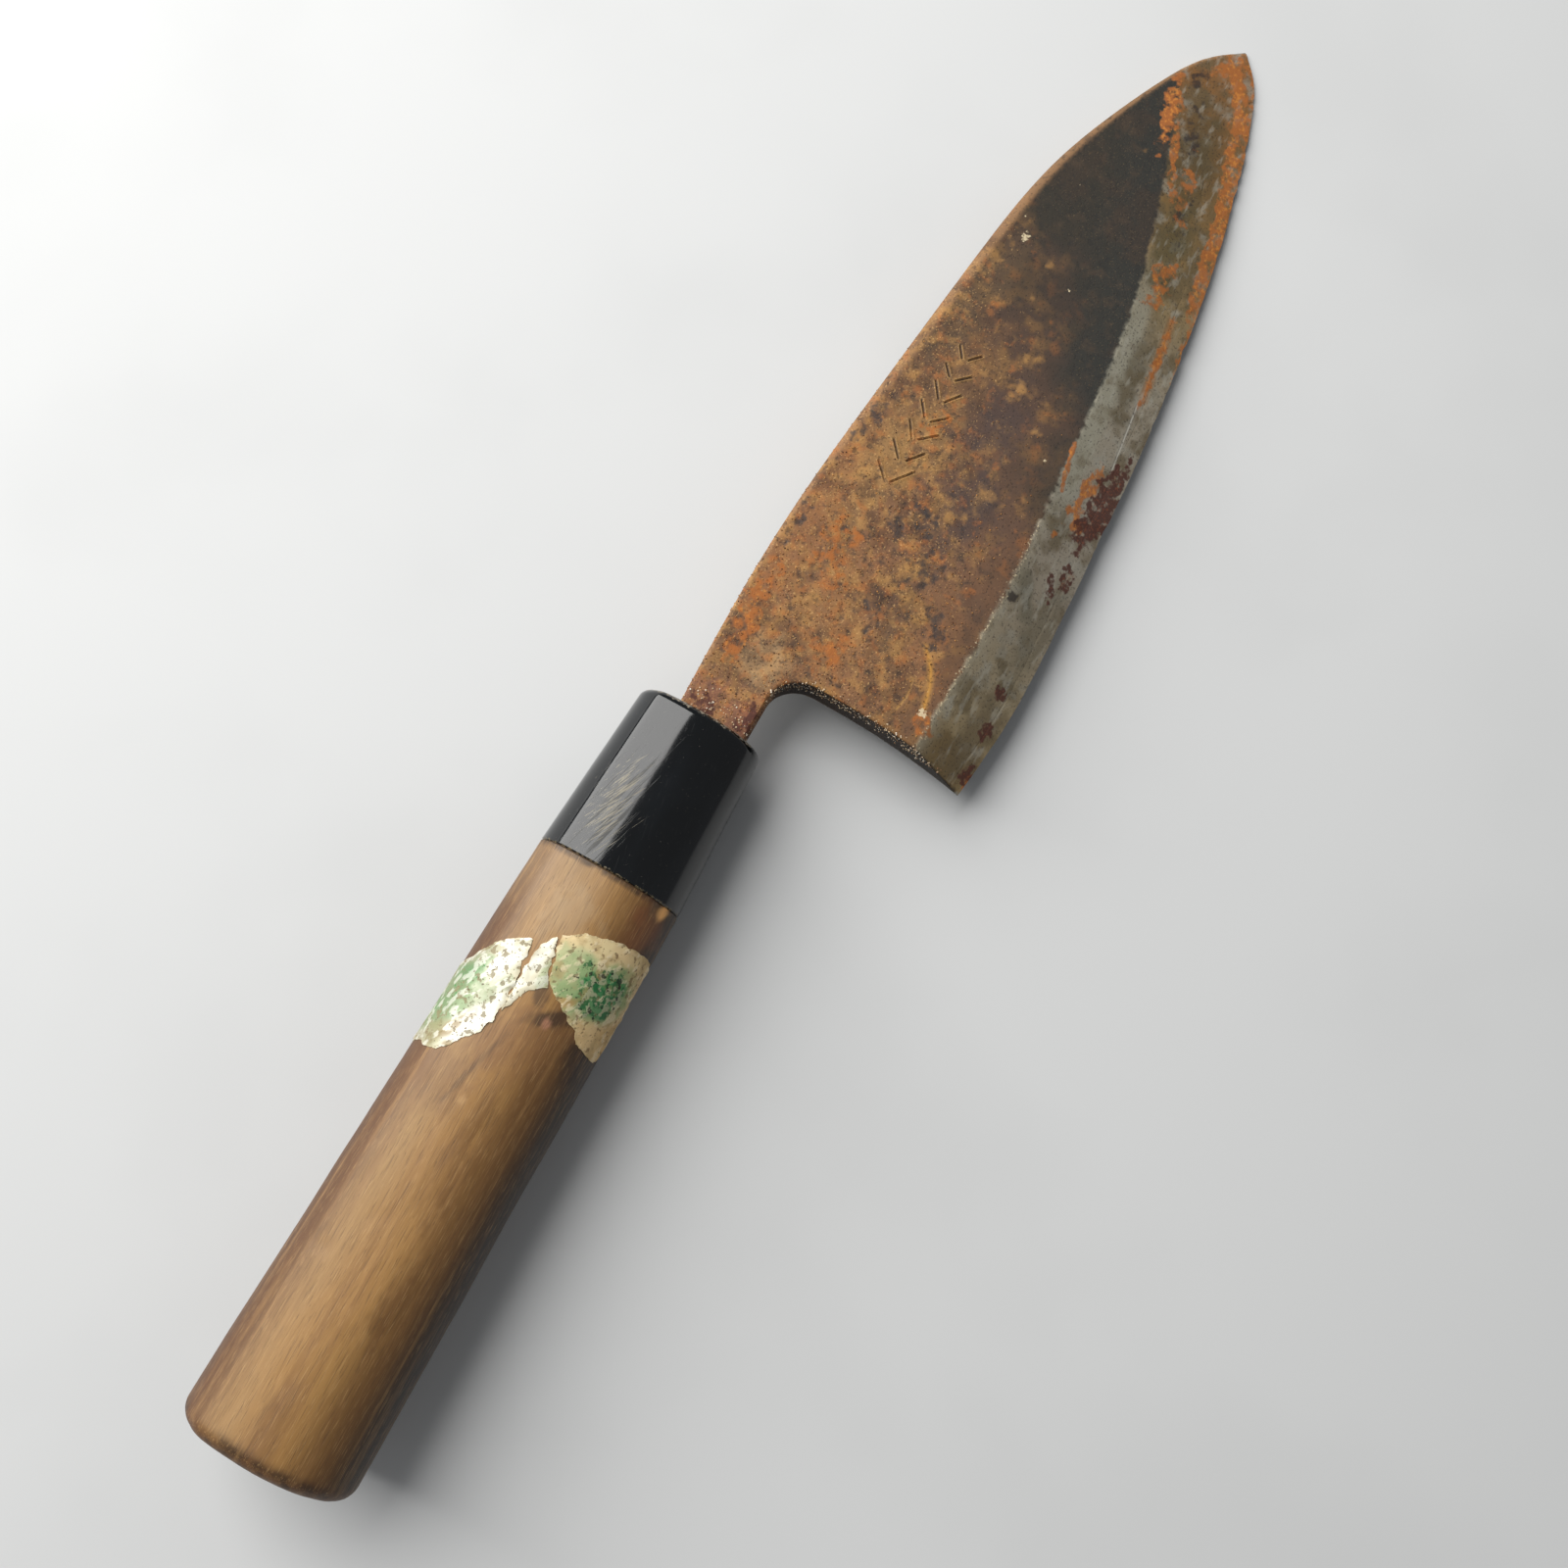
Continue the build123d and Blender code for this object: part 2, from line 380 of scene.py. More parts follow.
@dataclass(frozen=True)
class Finish:
    """A real material with the way its surface was made and worn.

    Args:
        name: the material and its surface.
        colour: sRGB hex of the bare material, where it has no paint.
        roughness: of the bare surface.
        metal: of the bare surface.
        ior: index of refraction; None keeps the default, as metals do.
        painted: True if the mesh holds a "paint" colour attribute.
        patches: what lies on it, lowest first.
    """

    name: str
    colour: str
    roughness: float
    metal: float = 0.0
    ior: float | None = None
    painted: bool = False
    patches: tuple[Patch, ...] = ()

    def material(self, knife: KnifeFrame) -> Material:
        """Builds the node tree.

        Args:
            knife: gives the pattern its place in millimetres.

        Returns:
            The new material.
        """
        material = bpy.data.materials.new(self.name)
        material.use_nodes = True
        tree = material.node_tree
        tree.nodes.clear()
        place = add_node(tree, "ShaderNodeTexCoord")
        ruler = add_node(
            tree, "ShaderNodeMapping", None,
            {
                "Vector": place.outputs["Object"], "Location": tuple(-knife.origin),
                "Scale": (MM_PER_M,) * 3,
            },
        )
        look: dict = {
            "colour": linear(self.colour), "roughness": self.roughness, "metal": self.metal,
            "height": 0.0,
        }
        if self.painted:
            paint = add_node(tree, "ShaderNodeAttribute", {"attribute_name": "paint"})
            look["colour"] = paint.outputs["Color"]
        for number, patch in enumerate(self.patches):
            self._lay(tree, ruler.outputs["Vector"], patch, number, look)
        bump = add_node(
            tree, "ShaderNodeBump", None,
            {"Strength": 1.0, "Distance": 1 / MM_PER_M, "Height": look["height"]},
        )
        inputs = {
            "Base Color": look["colour"], "Roughness": look["roughness"], "Metallic": look["metal"],
            "Normal": bump.outputs["Normal"],
        }
        if self.ior is not None:
            inputs["IOR"] = self.ior
        shader = add_node(tree, "ShaderNodeBsdfPrincipled", None, inputs)
        add_node(tree, "ShaderNodeOutputMaterial", None, {"Surface": shader.outputs["BSDF"]})
        return material

    @staticmethod
    def _lay(tree: NodeTree, millimetres: NodeSocket, patch: Patch, number: int, look: dict) -> None:
        """Lays one patch over the look so far.

        Args:
            tree: the material's tree.
            millimetres: coordinates in the knife's own frame.
            patch: what to lay.
            number: its place in the stack, which also moves its pattern.
            look: colour, roughness, metal and height so far, changed in place.
        """
        mapped = add_node(
            tree, "ShaderNodeMapping", {"vector_type": "TEXTURE"},
            {
                "Vector": millimetres, "Location": (7.3 * number, 3.1 * number, 1.7 * number),
                "Rotation": (0.0, 0.0, math.radians(patch.turn)),
                "Scale": tuple(patch.size * s for s in patch.stretch),
            },
        )
        options = {"Vector": mapped.outputs["Vector"], "Scale": 1.0, "Detail": patch.detail}
        value = add_node(tree, "ShaderNodeTexNoise", None, options).outputs[0]
        if patch.region:
            region = add_node(tree, "ShaderNodeAttribute", {"attribute_name": patch.region})
            missing = maths(tree, "MULTIPLY_ADD", region.outputs["Fac"], patch.reach, -patch.reach)
            value = maths(tree, "ADD", value, missing)
        cover = add_node(
            tree, "ShaderNodeMapRange", {"interpolation_type": "SMOOTHSTEP"},
            {"Value": value, "From Min": patch.start, "From Max": patch.full, "To Max": patch.strength},
        ).outputs["Result"]
        look["colour"] = add_node(
            tree, "ShaderNodeMix", {"data_type": "RGBA"},
            {0: cover, 6: look["colour"], 7: linear(patch.colour)},
        ).outputs[2]
        for name, wanted in (("roughness", patch.roughness), ("metal", patch.metal)):
            if wanted is not None:
                mixed = add_node(tree, "ShaderNodeMix", None, {0: cover, 2: look[name], 3: wanted})
                look[name] = mixed.outputs[0]
        if patch.relief:
            look["height"] = maths(tree, "MULTIPLY_ADD", cover, patch.relief, look["height"])


@dataclass(frozen=True)
class Stain:
    """One mark of colour painted on a surface.

    Args:
        station: its middle.
        y: its middle, or the girth on the handle.
        length: along the knife before it is turned.
        width: across.
        tint: sRGB hex, or the region that takes the mark instead of the paint.
        turn: degrees, positive turns it towards the spine.
        strength: cover in its middle.
    """

    station: float
    y: float
    length: float
    width: float
    tint: str
    turn: float
    strength: float

    def cover(self, points: Array, layer: int) -> Array:
        """Tells how much of the stain lies on some points.

        Args:
            points: station and y.
            layer: gives each stain its own border.

        Returns:
            Shares from 0 to the stain's strength.
        """
        moved = points - (self.station, self.y)
        near = np.abs(moved).max(axis=1) < 1.3 * max(self.length, self.width)
        cosine, sine = math.cos(math.radians(self.turn)), math.sin(math.radians(self.turn))
        along = (moved[near, 0] * cosine + moved[near, 1] * sine) / (self.length / 2)
        across = (-moved[near, 0] * sine + moved[near, 1] * cosine) / (self.width / 2)
        ragged = 0.5 * cloud(points[near], 2.6, 4, layer)
        share = np.zeros(len(points))
        share[near] = self.strength * ramp(1.4, 0.5, np.hypot(along, across) + ragged)
        return share


def coat(colour: str, count: int) -> Array:
    """Paint of one sRGB hex colour for a number of points."""
    return np.tile(np.array(linear(colour)), (count, 1))


def lay_colour(paint: Array, colour: str, cover: Array) -> None:
    """Mixes a colour into the paint of a surface, in place."""
    paint += (np.array(linear(colour)) - paint) * np.clip(cover, 0, 1)[:, None]


@dataclass(frozen=True)
class Mottle:
    """Cloudy patches of one colour.

    Args:
        colour: sRGB hex.
        strength: cover at its fullest.
        low: cloud value where a patch begins.
        high: cloud value where it covers fully.
        size: typical width of a patch.
        layer: another number gives another pattern.
        octaves: finer copies of the pattern.
    """

    colour: str
    strength: float
    low: float
    high: float
    size: float
    layer: int
    octaves: int = 5

    def lay(self, paint: Array, points: Array, share: float | Array = 1.0) -> None:
        """Mixes the patches into the paint of a surface, in place.

        Args:
            paint: colour of each point.
            points: places that the patches follow.
            share: how much of them shows.
        """
        value = cloud(points, self.size, self.octaves, self.layer)
        lay_colour(paint, self.colour, self.strength * share * ramp(self.low, self.high, value))


def lay_stains(
    paint: Array, points: Array, stains: Sequence[Stain], regions: dict[str, Array] | None = None,
) -> None:
    """Paints stains one over the other, in place, or adds them to their regions.

    Args:
        paint: colour of each point.
        points: station and y of each point.
        stains: what to lay.
        regions: shares by name, for the stains that name one.
    """
    for layer, stain in enumerate(stains):
        cover = stain.cover(points, layer)
        if stain.tint.startswith("#"):
            lay_colour(paint, stain.tint, cover)
        else:
            regions[stain.tint] = np.maximum(regions[stain.tint], cover)


# ---- Meshes ----


def close_skin(mesh: Mesh, merge: float = 0.0) -> None:
    """Turns a closed mesh's faces outwards and shades it smooth but for its real corners.

    Args:
        mesh: changed in place.
        merge: points nearer than this, in metres, become one; 0 keeps them all.
    """
    shape = bmesh.new()
    shape.from_mesh(mesh)
    if merge:
        bmesh.ops.remove_doubles(shape, verts=shape.verts, dist=merge)
        bmesh.ops.dissolve_degenerate(shape, dist=merge / 10, edges=shape.edges)
    bmesh.ops.recalc_face_normals(shape, faces=shape.faces)
    shape.to_mesh(mesh)
    shape.free()
    mesh.shade_smooth()
    mesh.set_sharp_from_angle(angle=SHARP_ANGLE)


def mesh_from(name: str, points: Array, faces: list, merge: float) -> Mesh:
    """Makes a clean closed mesh with its faces outwards.

    Args:
        name: of the mesh.
        points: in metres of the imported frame.
        faces: corner numbers of each face.
        merge: points nearer than this become one.

    Returns:
        The new mesh.
    """
    mesh = bpy.data.meshes.new(name)
    mesh.from_pydata([tuple(p) for p in points], [], faces)
    close_skin(mesh, merge)
    return mesh


def points_of(mesh: Mesh) -> Array:
    """Gives a mesh's points as an array.

    Args:
        mesh: what holds them.

    Returns:
        One row per point.
    """
    flat = np.empty(3 * len(mesh.vertices), np.float32)
    mesh.vertices.foreach_get("co", flat)
    return flat.reshape(-1, 3).astype(float)


def move_points(mesh: Mesh, points: Array) -> None:
    """Puts a mesh's points in new places."""
    mesh.vertices.foreach_set("co", points.astype(np.float32).ravel())
    mesh.update()


def store(mesh: Mesh, paint: Array | None, regions: dict[str, Array]) -> None:
    """Stores colours and shares on the points of a mesh.

    Args:
        mesh: what holds them.
        paint: linear colour of each point, or None.
        regions: shares by region name.
    """
    if paint is not None:
        layer = mesh.attributes.new("paint", "FLOAT_COLOR", "POINT")
        layer.data.foreach_set("color", paint.astype(np.float32).ravel())
    for name, share in regions.items():
        layer = mesh.attributes.new(name, "FLOAT", "POINT")
        layer.data.foreach_set("value", share.astype(np.float32))


def add_object(name: str, data: bpy.types.ID) -> Object:
    """Puts an object with its data into the scene.

    Args:
        name: of the object.
        data: its mesh, light or camera.

    Returns:
        The new object.
    """
    made = bpy.data.objects.new(name, data)
    bpy.context.scene.collection.objects.link(made)
    return made


def place_piece(name: str, mesh: Mesh, material: Material, has_node: bool = True) -> Object:
    """Puts a finished mesh into the scene and on its body.

    Args:
        name: of the piece, and of the CAD node that it stands for.
        mesh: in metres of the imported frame.
        material: its finish.
        has_node: False for what the CAD doesn't hold.

    Returns:
        The new object.
    """
    mesh.name = name
    mesh.materials.clear()
    mesh.materials.append(material)
    piece = add_object(name, mesh)
    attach(piece, BODY)
    if has_node:
        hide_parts(name)
    log.info("%s: %d points, %d faces", name, len(mesh.vertices), len(mesh.polygons))
    return piece


@dataclass
class Slab:
    """A closed body between two height functions over one outline in plan.

    Args:
        outline: corners of the loop.
        upper: height of the upper face at points in plan.
        lower: height of the lower face.
        spacing: of the points on the upper face.
        lower_spacing: of the points on the lower face.
        extra: more points for the upper face, where it bends sharply.
        lines: runs of points on the upper face that edges follow.
        walls: rows of faces between the two outlines.
        part: tells which points of the upper face are worth filling.
    """

    outline: Array
    upper: Callable[[Array], Array]
    lower: Callable[[Array], Array]
    spacing: float
    lower_spacing: float
    extra: Array = field(default_factory=lambda: np.zeros((0, 2)))
    lines: Sequence[Array] = ()
    walls: int = 3
    part: Callable[[Array], Array] | None = None
    # How far points keep off the rim and off each other: shares of the spacing, then a length.
    line_clear: float = 0.25
    rim_clear: float = 0.45
    fixed_clear: float = 0.55
    extra_clear: float = 0.04

    def _fill(self, spacing: float, extra: Array, lines: Sequence[Array]) -> tuple[Array, list, Array]:
        """Triangulates the outline with evenly spread points inside.

        Args:
            spacing: of the spread points.
            extra: more points inside.
            lines: runs of points that edges follow.

        Returns:
            Points in plan, triangles, and the number of each outline point.
        """
        border = np.vstack([self.outline, self.outline[:1]])
        low, high = self.outline.min(axis=0), self.outline.max(axis=0)
        rows = np.arange(low[1], high[1], spacing * math.sqrt(3) / 2)
        columns = np.arange(low[0], high[0], spacing)
        grid = np.array([(x + spacing / 2 * (i % 2), y) for i, y in enumerate(rows) for x in columns])
        kept_lines = []
        for line in lines:
            clear = inside(line, self.outline) & (away_from(line, border) > self.line_clear * spacing)
            kept_lines.append(line[clear])
        if self.part is not None:
            grid = grid[self.part(grid)]
        if len(extra):
            extra = extra[inside(extra, self.outline) & (away_from(extra, border) > self.extra_clear)]
        fixed = np.vstack([*kept_lines, extra])
        grid = grid[inside(grid, self.outline)]
        grid = grid[away_from(grid, border) > self.rim_clear * spacing]
        if len(fixed):
            tree = kdtree.KDTree(len(fixed))
            for i, (x, y) in enumerate(fixed):
                tree.insert((x, y, 0), i)
            tree.balance()
            grid = grid[[tree.find((x, y, 0))[2] > self.fixed_clear * spacing for x, y in grid]]
        flat = np.vstack([self.outline, fixed, grid])
        count = len(self.outline)
        edges = [(i, (i + 1) % count) for i in range(count)]
        start = count
        for line in kept_lines:
            edges += [(start + i, start + i + 1) for i in range(len(line) - 1)]
            start += len(line)
        made = delaunay_2d_cdt([Vector(p) for p in flat], edges, [], 1, 1e-5)
        plan = np.array([tuple(p) for p in made[0]])
        rim = np.full(count, -1)
        for number, sources in enumerate(made[3]):
            for source in sources:
                if source < count:
                    rim[source] = number
        return plan, [tuple(f) for f in made[2]], rim

    def build(self) -> tuple[Array, list]:
        """Makes both faces and the walls between them.

        Returns:
            Points as plan and height, and faces.
        """
        top, top_faces, top_rim = self._fill(self.spacing, self.extra, self.lines)
        base, base_faces, base_rim = self._fill(self.lower_spacing, np.zeros((0, 2)), ())
        top_points = np.column_stack([top, self.upper(top)])
        base_points = np.column_stack([base, self.lower(base)])
        points = [top_points, base_points]
        faces = list(top_faces)
        faces += [tuple(len(top) + i for i in reversed(f)) for f in base_faces]
        rings = [top_rim]
        number = len(top) + len(base)
        for step in range(1, self.walls):
            share = step / self.walls
            ring = top_points[top_rim] * (1 - share) + base_points[base_rim] * share
            points.append(ring)
            rings.append(number + np.arange(len(ring)))
            number += len(ring)
        rings.append(len(top) + base_rim)
        count = len(self.outline)
        for upper, lower in zip(rings[:-1], rings[1:]):
            for i in range(count):
                j = (i + 1) % count
                faces.append((int(upper[i]), int(lower[i]), int(lower[j]), int(upper[j])))
        return np.vstack(points), faces


# ---- Blade ----


class Grade(Enum):
    """The colours of the blade's old skin, as sRGB hex."""

    CRUST = "#7d5533"
    ORANGE = "#9a5c22"
    UMBER = "#3a291d"
    OLIVE = "#221d12"
    CHARCOAL = "#1c1d18"
    TAN = "#8a6540"
    PALE = "#918d7c"


@dataclass(frozen=True)
class Mark:
    """A fine line worked or scratched into the blade.

    Args:
        line: its points in plan.
        half_width: of the groove.
        depth: of the groove.
        burr: height of the lips.
        ground: sRGB hex of the groove.
        lip: sRGB hex of the lips.
    """

    line: Array
    half_width: float
    depth: float
    burr: float
    ground: str
    lip: str

    def reach(self, plan: Array) -> tuple[Array, Array]:
        """Finds the points that the mark can touch.

        Args:
            plan: places in plan.

        Returns:
            Which points are near, and how many half widths these are away from its line.
        """
        border = 4 * self.half_width
        low, high = self.line.min(axis=0) - border, self.line.max(axis=0) + border
        near = ((plan > low) & (plan < high)).all(axis=1)
        return near, away_from(plan[near], self.line) / self.half_width


@dataclass
class Blade:
    """The single-bevel blade: soft iron body with the tang, and the hard steel plate behind it.

    Args:
        knife: places in the frame.
    """

    knife: KnifeFrame
    back: float = -3.5
    neck_thickness: float = 7.0
    edge_thickness: float = 0.3
    neck_top: float = 4.5
    neck_bottom: float = -7.3
    neck_length: float = 8.2
    choil_x: float = 13.6
    choil_round: float = 6.0
    heel: Point = (11.4, -41.6)
    tip_y: float = -22.2
    tang_length: float = 98.0
    tang_end_width: float = 5.0
    tang_end_thickness: float = 3.0
    tang_end_y: float = -0.5
    steel_thickness: float = 1.7
    steel_start: float = 6.0
    hollow_depth: float = 0.35
    hollow_centre: Point = (78.0, -20.0)
    hollow_half: Point = (59.0, 15.0)
    # Share of the length, bevel line, cutting edge, and share of the neck's thickness.
    stations: tuple[tuple[float, float, float, float], ...] = (
        (0.0, -31.0, -42.6, 1.0), (0.154, -32.0, -43.0, 0.97), (0.284, -32.1, -42.8, 0.91),
        (0.432, -30.5, -41.7, 0.81), (0.6, -28.1, -39.5, 0.69), (0.74, -23.2, -36.4, 0.57),
        (0.84, -18.5, -33.2, 0.47), (0.92, -14.3, -29.7, 0.39), (0.972, -11.5, -26.0, 0.35),
        (1.02, -9.0, -19.5, 0.33),
    )
    spine_points: tuple[Point, ...] = (
        (0.204, 5.3), (0.4, 3.5), (0.6, 0.8), (0.75, -2.7), (0.84, -7.4), (0.926, -13.3),
        (0.972, -17.8),
    )
    step: float = 0.45
    merge: float = 2e-7
    spine_drop: float = 0.75
    choil_drop: float = 0.4
    chips: int = 16
    chip_seed: int = 41
    cut_rows: int = 7
    cut_start: Point = (51.0, -6.2)
    cut_pitch: Point = (4.4, -0.12)
    cut_length: float = 3.7
    cut_angle: float = 40.0
    cut_seed: int = 7

    def __post_init__(self) -> None:
        """Works out the lines that the faces follow."""
        self.length = self.knife.tip_station
        share, bevel, edge, thick = np.array(self.stations).T
        self.bevel_y = spline_through(share * self.length, bevel)
        self.thickness = spline_through(share * self.length, thick * self.neck_thickness)
        tip = (self.length, self.tip_y)
        scaled = [(s * self.length, y) for s, y in self.spine_points]
        self.spine = curve_through([(0, self.neck_top), *scaled, tip], self.step)
        middle = [(s * self.length, e) for s, _, e, _ in self.stations[1:-1]]
        self.edge = curve_through([self.heel, *middle, tip], self.step)
        self._nick_edge()
        turn = np.linspace(0, math.pi / 2, 14)
        run = self.choil_x - self.neck_length
        corner = np.column_stack(
            [
                self.neck_length + run * np.sin(turn),
                self.neck_bottom - self.choil_round * (1 - np.cos(turn)),
            ]
        )
        start = corner[-1]
        share = np.linspace(0, 1, 60)[:, None]
        pull = 0.45 * (start[1] - self.heel[1])
        heel = np.array(self.heel)
        to_heel = (1 - share) ** 3 * start + 3 * (1 - share) ** 2 * share * (start + (0, -pull))
        to_heel += 3 * (1 - share) * share**2 * (heel + (0.15 * pull, pull)) + share**3 * heel
        self.choil = even_steps(np.vstack([corner[:-1], to_heel]), self.step)
        self.marks = [*self._ornament(), *self._scratches()]

    def _nick_edge(self) -> None:
        """Gives the cutting edge its small chips and its slightly uneven line."""
        rng = np.random.default_rng(self.chip_seed)
        dip = 0.07 * (1 + cloud(self.edge, 5.0, 3, 3))
        for _ in range(self.chips):
            place = rng.uniform(16, 154)
            width, depth = rng.uniform(0.5, 1.5), rng.uniform(0.08, 0.3)
            dip += depth * bell(self.edge[:, 0], place, width)
        fade = ramp(0, 2, away_from(self.edge, self.edge[[0, 0]]))
        fade *= ramp(0, 3, away_from(self.edge, self.edge[[-1, -1]]))
        self.edge[:, 1] += dip * fade

    def _ornament(self) -> list[Mark]:
        """Lays out a plain sprig of short chisel cuts along the blade.

        Returns:
            The cuts.
        """
        rng = np.random.default_rng(self.cut_seed)
        half_width, stem = 0.24, 0.7
        start, pitch = np.array(self.cut_start), np.array(self.cut_pitch)
        cuts = []
        for row in range(self.cut_rows):
            for side in (-1, 1):
                foot = start + row * pitch + (0, side * stem) + rng.uniform(-0.25, 0.25, 2)
                size = self.cut_length - 0.2 * row + rng.uniform(-0.4, 0.4)
                angle = math.radians(self.cut_angle + rng.uniform(-7, 7))
                top = foot + size * np.array([math.cos(angle), side * math.sin(angle)])
                line = even_steps([foot, top], half_width)
                cuts.append(Mark(line, half_width, 0.22, 0.07, "#2a1e14", "#a07c48"))
        return cuts

    @staticmethod
    def _scratches() -> list[Mark]:
        """Lays out the long scratches at the heel and on the bevel.

        Returns:
            The scratches.
        """
        heel_arc = curve_through([(19.4, -29.6), (22.6, -28.9), (26.2, -27.2), (28.8, -25.0)], 0.25)
        heel_line = curve_through([(17.2, -25.9), (19.8, -26.3), (22.8, -25.8)], 0.25)
        bright = even_steps([(73.8, -37.9), (87.5, -36.2)], 0.3)
        orange = curve_through([(89.0, -36.6), (97.0, -35.6), (105.0, -34.4)], 0.3)
        return [
            Mark(heel_arc, 0.42, 0.03, 0.0, "#b98434", "#8c6435"),
            Mark(heel_line, 0.2, 0.02, 0.0, "#a37a40", "#7d5a34"),
            Mark(bright, 0.14, 0.03, 0.0, "#b8b4a8", "#77746b"),
            Mark(orange, 0.5, 0.0, 0.0, "#a5672c", "#7f5f3c"),
        ]

    def edge_y(self, x: Array) -> Array:
        """Where the cutting edge lies at some stations."""
        return np.interp(x, self.edge[:, 0], self.edge[:, 1])

    def spine_y(self, x: Array) -> Array:
        """Where the spine lies at some stations."""
        return np.interp(x, self.spine[:, 0], self.spine[:, 1])

    def bevel_slope(self, x: Array) -> Array:
        """How steeply the bevel rises from the edge."""
        return (self.thickness(x) - self.edge_thickness) / (self.bevel_y(x) - self.edge_y(x))

    def spine_ease(self, x: Array) -> Array:
        """Width of the worn rounding along the spine."""
        return 0.7 + 1.3 * ramp(20, 80, x) * ramp(158, 105, x)

    def weld(self, plan: Array) -> Array:
        """Height of the wavy forge weld between iron and steel."""
        return self.back + self.steel_thickness + 0.12 * cloud(plan, 9.0, 3, 5)

    def crustiness(self, plan: Array) -> Array:
        """How thick the rust crust is: full at the neck, none on the smooth forward part.

        Args:
            plan: places in plan.

        Returns:
            Shares from 0 to 1.
        """
        border = np.array([(14, -33), (44, -27), (66, -21), (84, -13), (101, -5), (112, 6)], float)
        side = inside(plan, np.vstack([border, [(-99, 6), (-99, -33)]]))
        gap = away_from(plan, border) * np.where(side, 1, -1)
        gap += 7.0 * cloud(plan, 14.0, 5, 11)
        return ramp(-14, 14, gap)

    def ground(self, plan: Array) -> Array:
        """Height of the plain ground faces: flat and bevel with a soft line between them.

        Args:
            plan: places in plan.

        Returns:
            Heights.
        """
        x, y = plan.T
        flat = self.back + self.thickness(x)
        bevel = self.back + self.edge_thickness + (y - self.edge_y(x)) * self.bevel_slope(x)
        soft = 0.1
        share = np.clip(0.5 + 0.5 * (bevel - flat) / soft, 0, 1)
        return bevel * (1 - share) + flat * share - soft * share * (1 - share)

    def tang_half(self, x: Array) -> Array:
        """Half the tang's thickness at some stations."""
        share = np.clip(-x / self.tang_length, 0, 1)
        return (self.neck_thickness + share * (self.tang_end_thickness - self.neck_thickness)) / 2

    def upper(self, plan: Array) -> Array:
        """Height of the upper face with its wear, rust relief and chisel cuts.

        Args:
            plan: places in plan.

        Returns:
            Heights.
        """
        x, y = plan.T
        height = np.where(x < 0, self.tang_half(x), self.ground(plan))
        on_blade = ramp(-1.0, 1.0, x)
        ease = self.spine_ease(x)
        height -= self.spine_drop * ease * self._rounding(away_from(plan, self.spine), ease)
        neck = np.array([(0, self.neck_bottom), (self.neck_length, self.neck_bottom)])
        low_side = np.minimum(away_from(plan, self.choil), away_from(plan, neck))
        height -= self.choil_drop * self._rounding(low_side, np.full(len(x), 0.55)) * on_blade
        crust = self.crustiness(plan)
        relief = 0.05 * cloud(plan, 3.2, 4, 21) + 0.03 * cloud(plan, 1.1, 3, 22)
        pits = np.clip(cloud(plan, 1.9, 3, 23) - 0.35, 0, 1)
        flat_side = ramp(-1, 1, y - self.bevel_y(x))
        height += on_blade * (0.35 + 0.65 * crust * flat_side) * (relief - 0.18 * pits * crust)
        for mark in self.marks:
            near, gap = mark.reach(plan)
            height[near] -= mark.depth * np.clip(1 - gap, 0, 1)
            height[near] += mark.burr * bell(gap, 1.35, 0.35)
        return height

    @staticmethod
    def _rounding(gap: Array, width: Array) -> Array:
        """Quarter-round drop towards an outline.

        Args:
            gap: distance from the outline.
            width: width of the rounding.

        Returns:
            1 at the outline, 0 where the rounding ends.
        """
        share = np.clip(1 - gap / width, 0, 1)
        return 1 - np.sqrt(1 - share * share)

    def hollow(self, plan: Array) -> Array:
        """Depth of the hollow-ground back."""
        reach = (plan - self.hollow_centre) / self.hollow_half
        return self.hollow_depth * np.clip(1 - (reach**2).sum(axis=1), 0, 1)

    def iron_lower(self, plan: Array) -> Array:
        """Underside of the iron: the weld, or the back of neck and tang.

        Args:
            plan: places in plan.

        Returns:
            Heights.
        """
        x = plan[:, 0]
        behind = np.where(x < 0, -self.tang_half(x), self.back)
        height = np.where(x < self.steel_start, behind, self.weld(plan))
        return np.minimum(height, self.upper(plan))

    def steel_upper(self, plan: Array) -> Array:
        """Upper face of the steel: the weld, or the bevel where the iron has been ground away."""
        return np.minimum(self.weld(plan), self.upper(plan))

    def steel_lower(self, plan: Array) -> Array:
        """Back of the steel with its hollow, its eased outline and shallow rust relief.

        Args:
            plan: places in plan.

        Returns:
            Heights.
        """
        loop = np.vstack([self.spine, self.edge[::-1], self.choil[::-1]])
        ease = 0.25 * self._rounding(away_from(plan, loop), np.full(len(plan), 0.5))
        x, y = plan.T
        thin = ramp(0.2, 3.0, y - self.edge_y(x))
        relief = 0.02 * cloud(plan, 2.6, 4, 31)
        return self.back + self.hollow(plan) + (ease * 0.8 + relief + 0.02) * thin

    def _side_points(self, line: Array, offsets: Sequence[float]) -> Array:
        """Copies of a line moved sideways, so that a bend beside it is followed.

        Args:
            line: points in plan.
            offsets: distances to each side.

        Returns:
            All the copies' points.
        """
        run = np.gradient(line, axis=0)
        run /= np.maximum(np.linalg.norm(run, axis=1), 1e-9)[:, None]
        normal = np.column_stack([-run[:, 1], run[:, 0]])
        return np.vstack([line + offset * normal for offset in offsets])

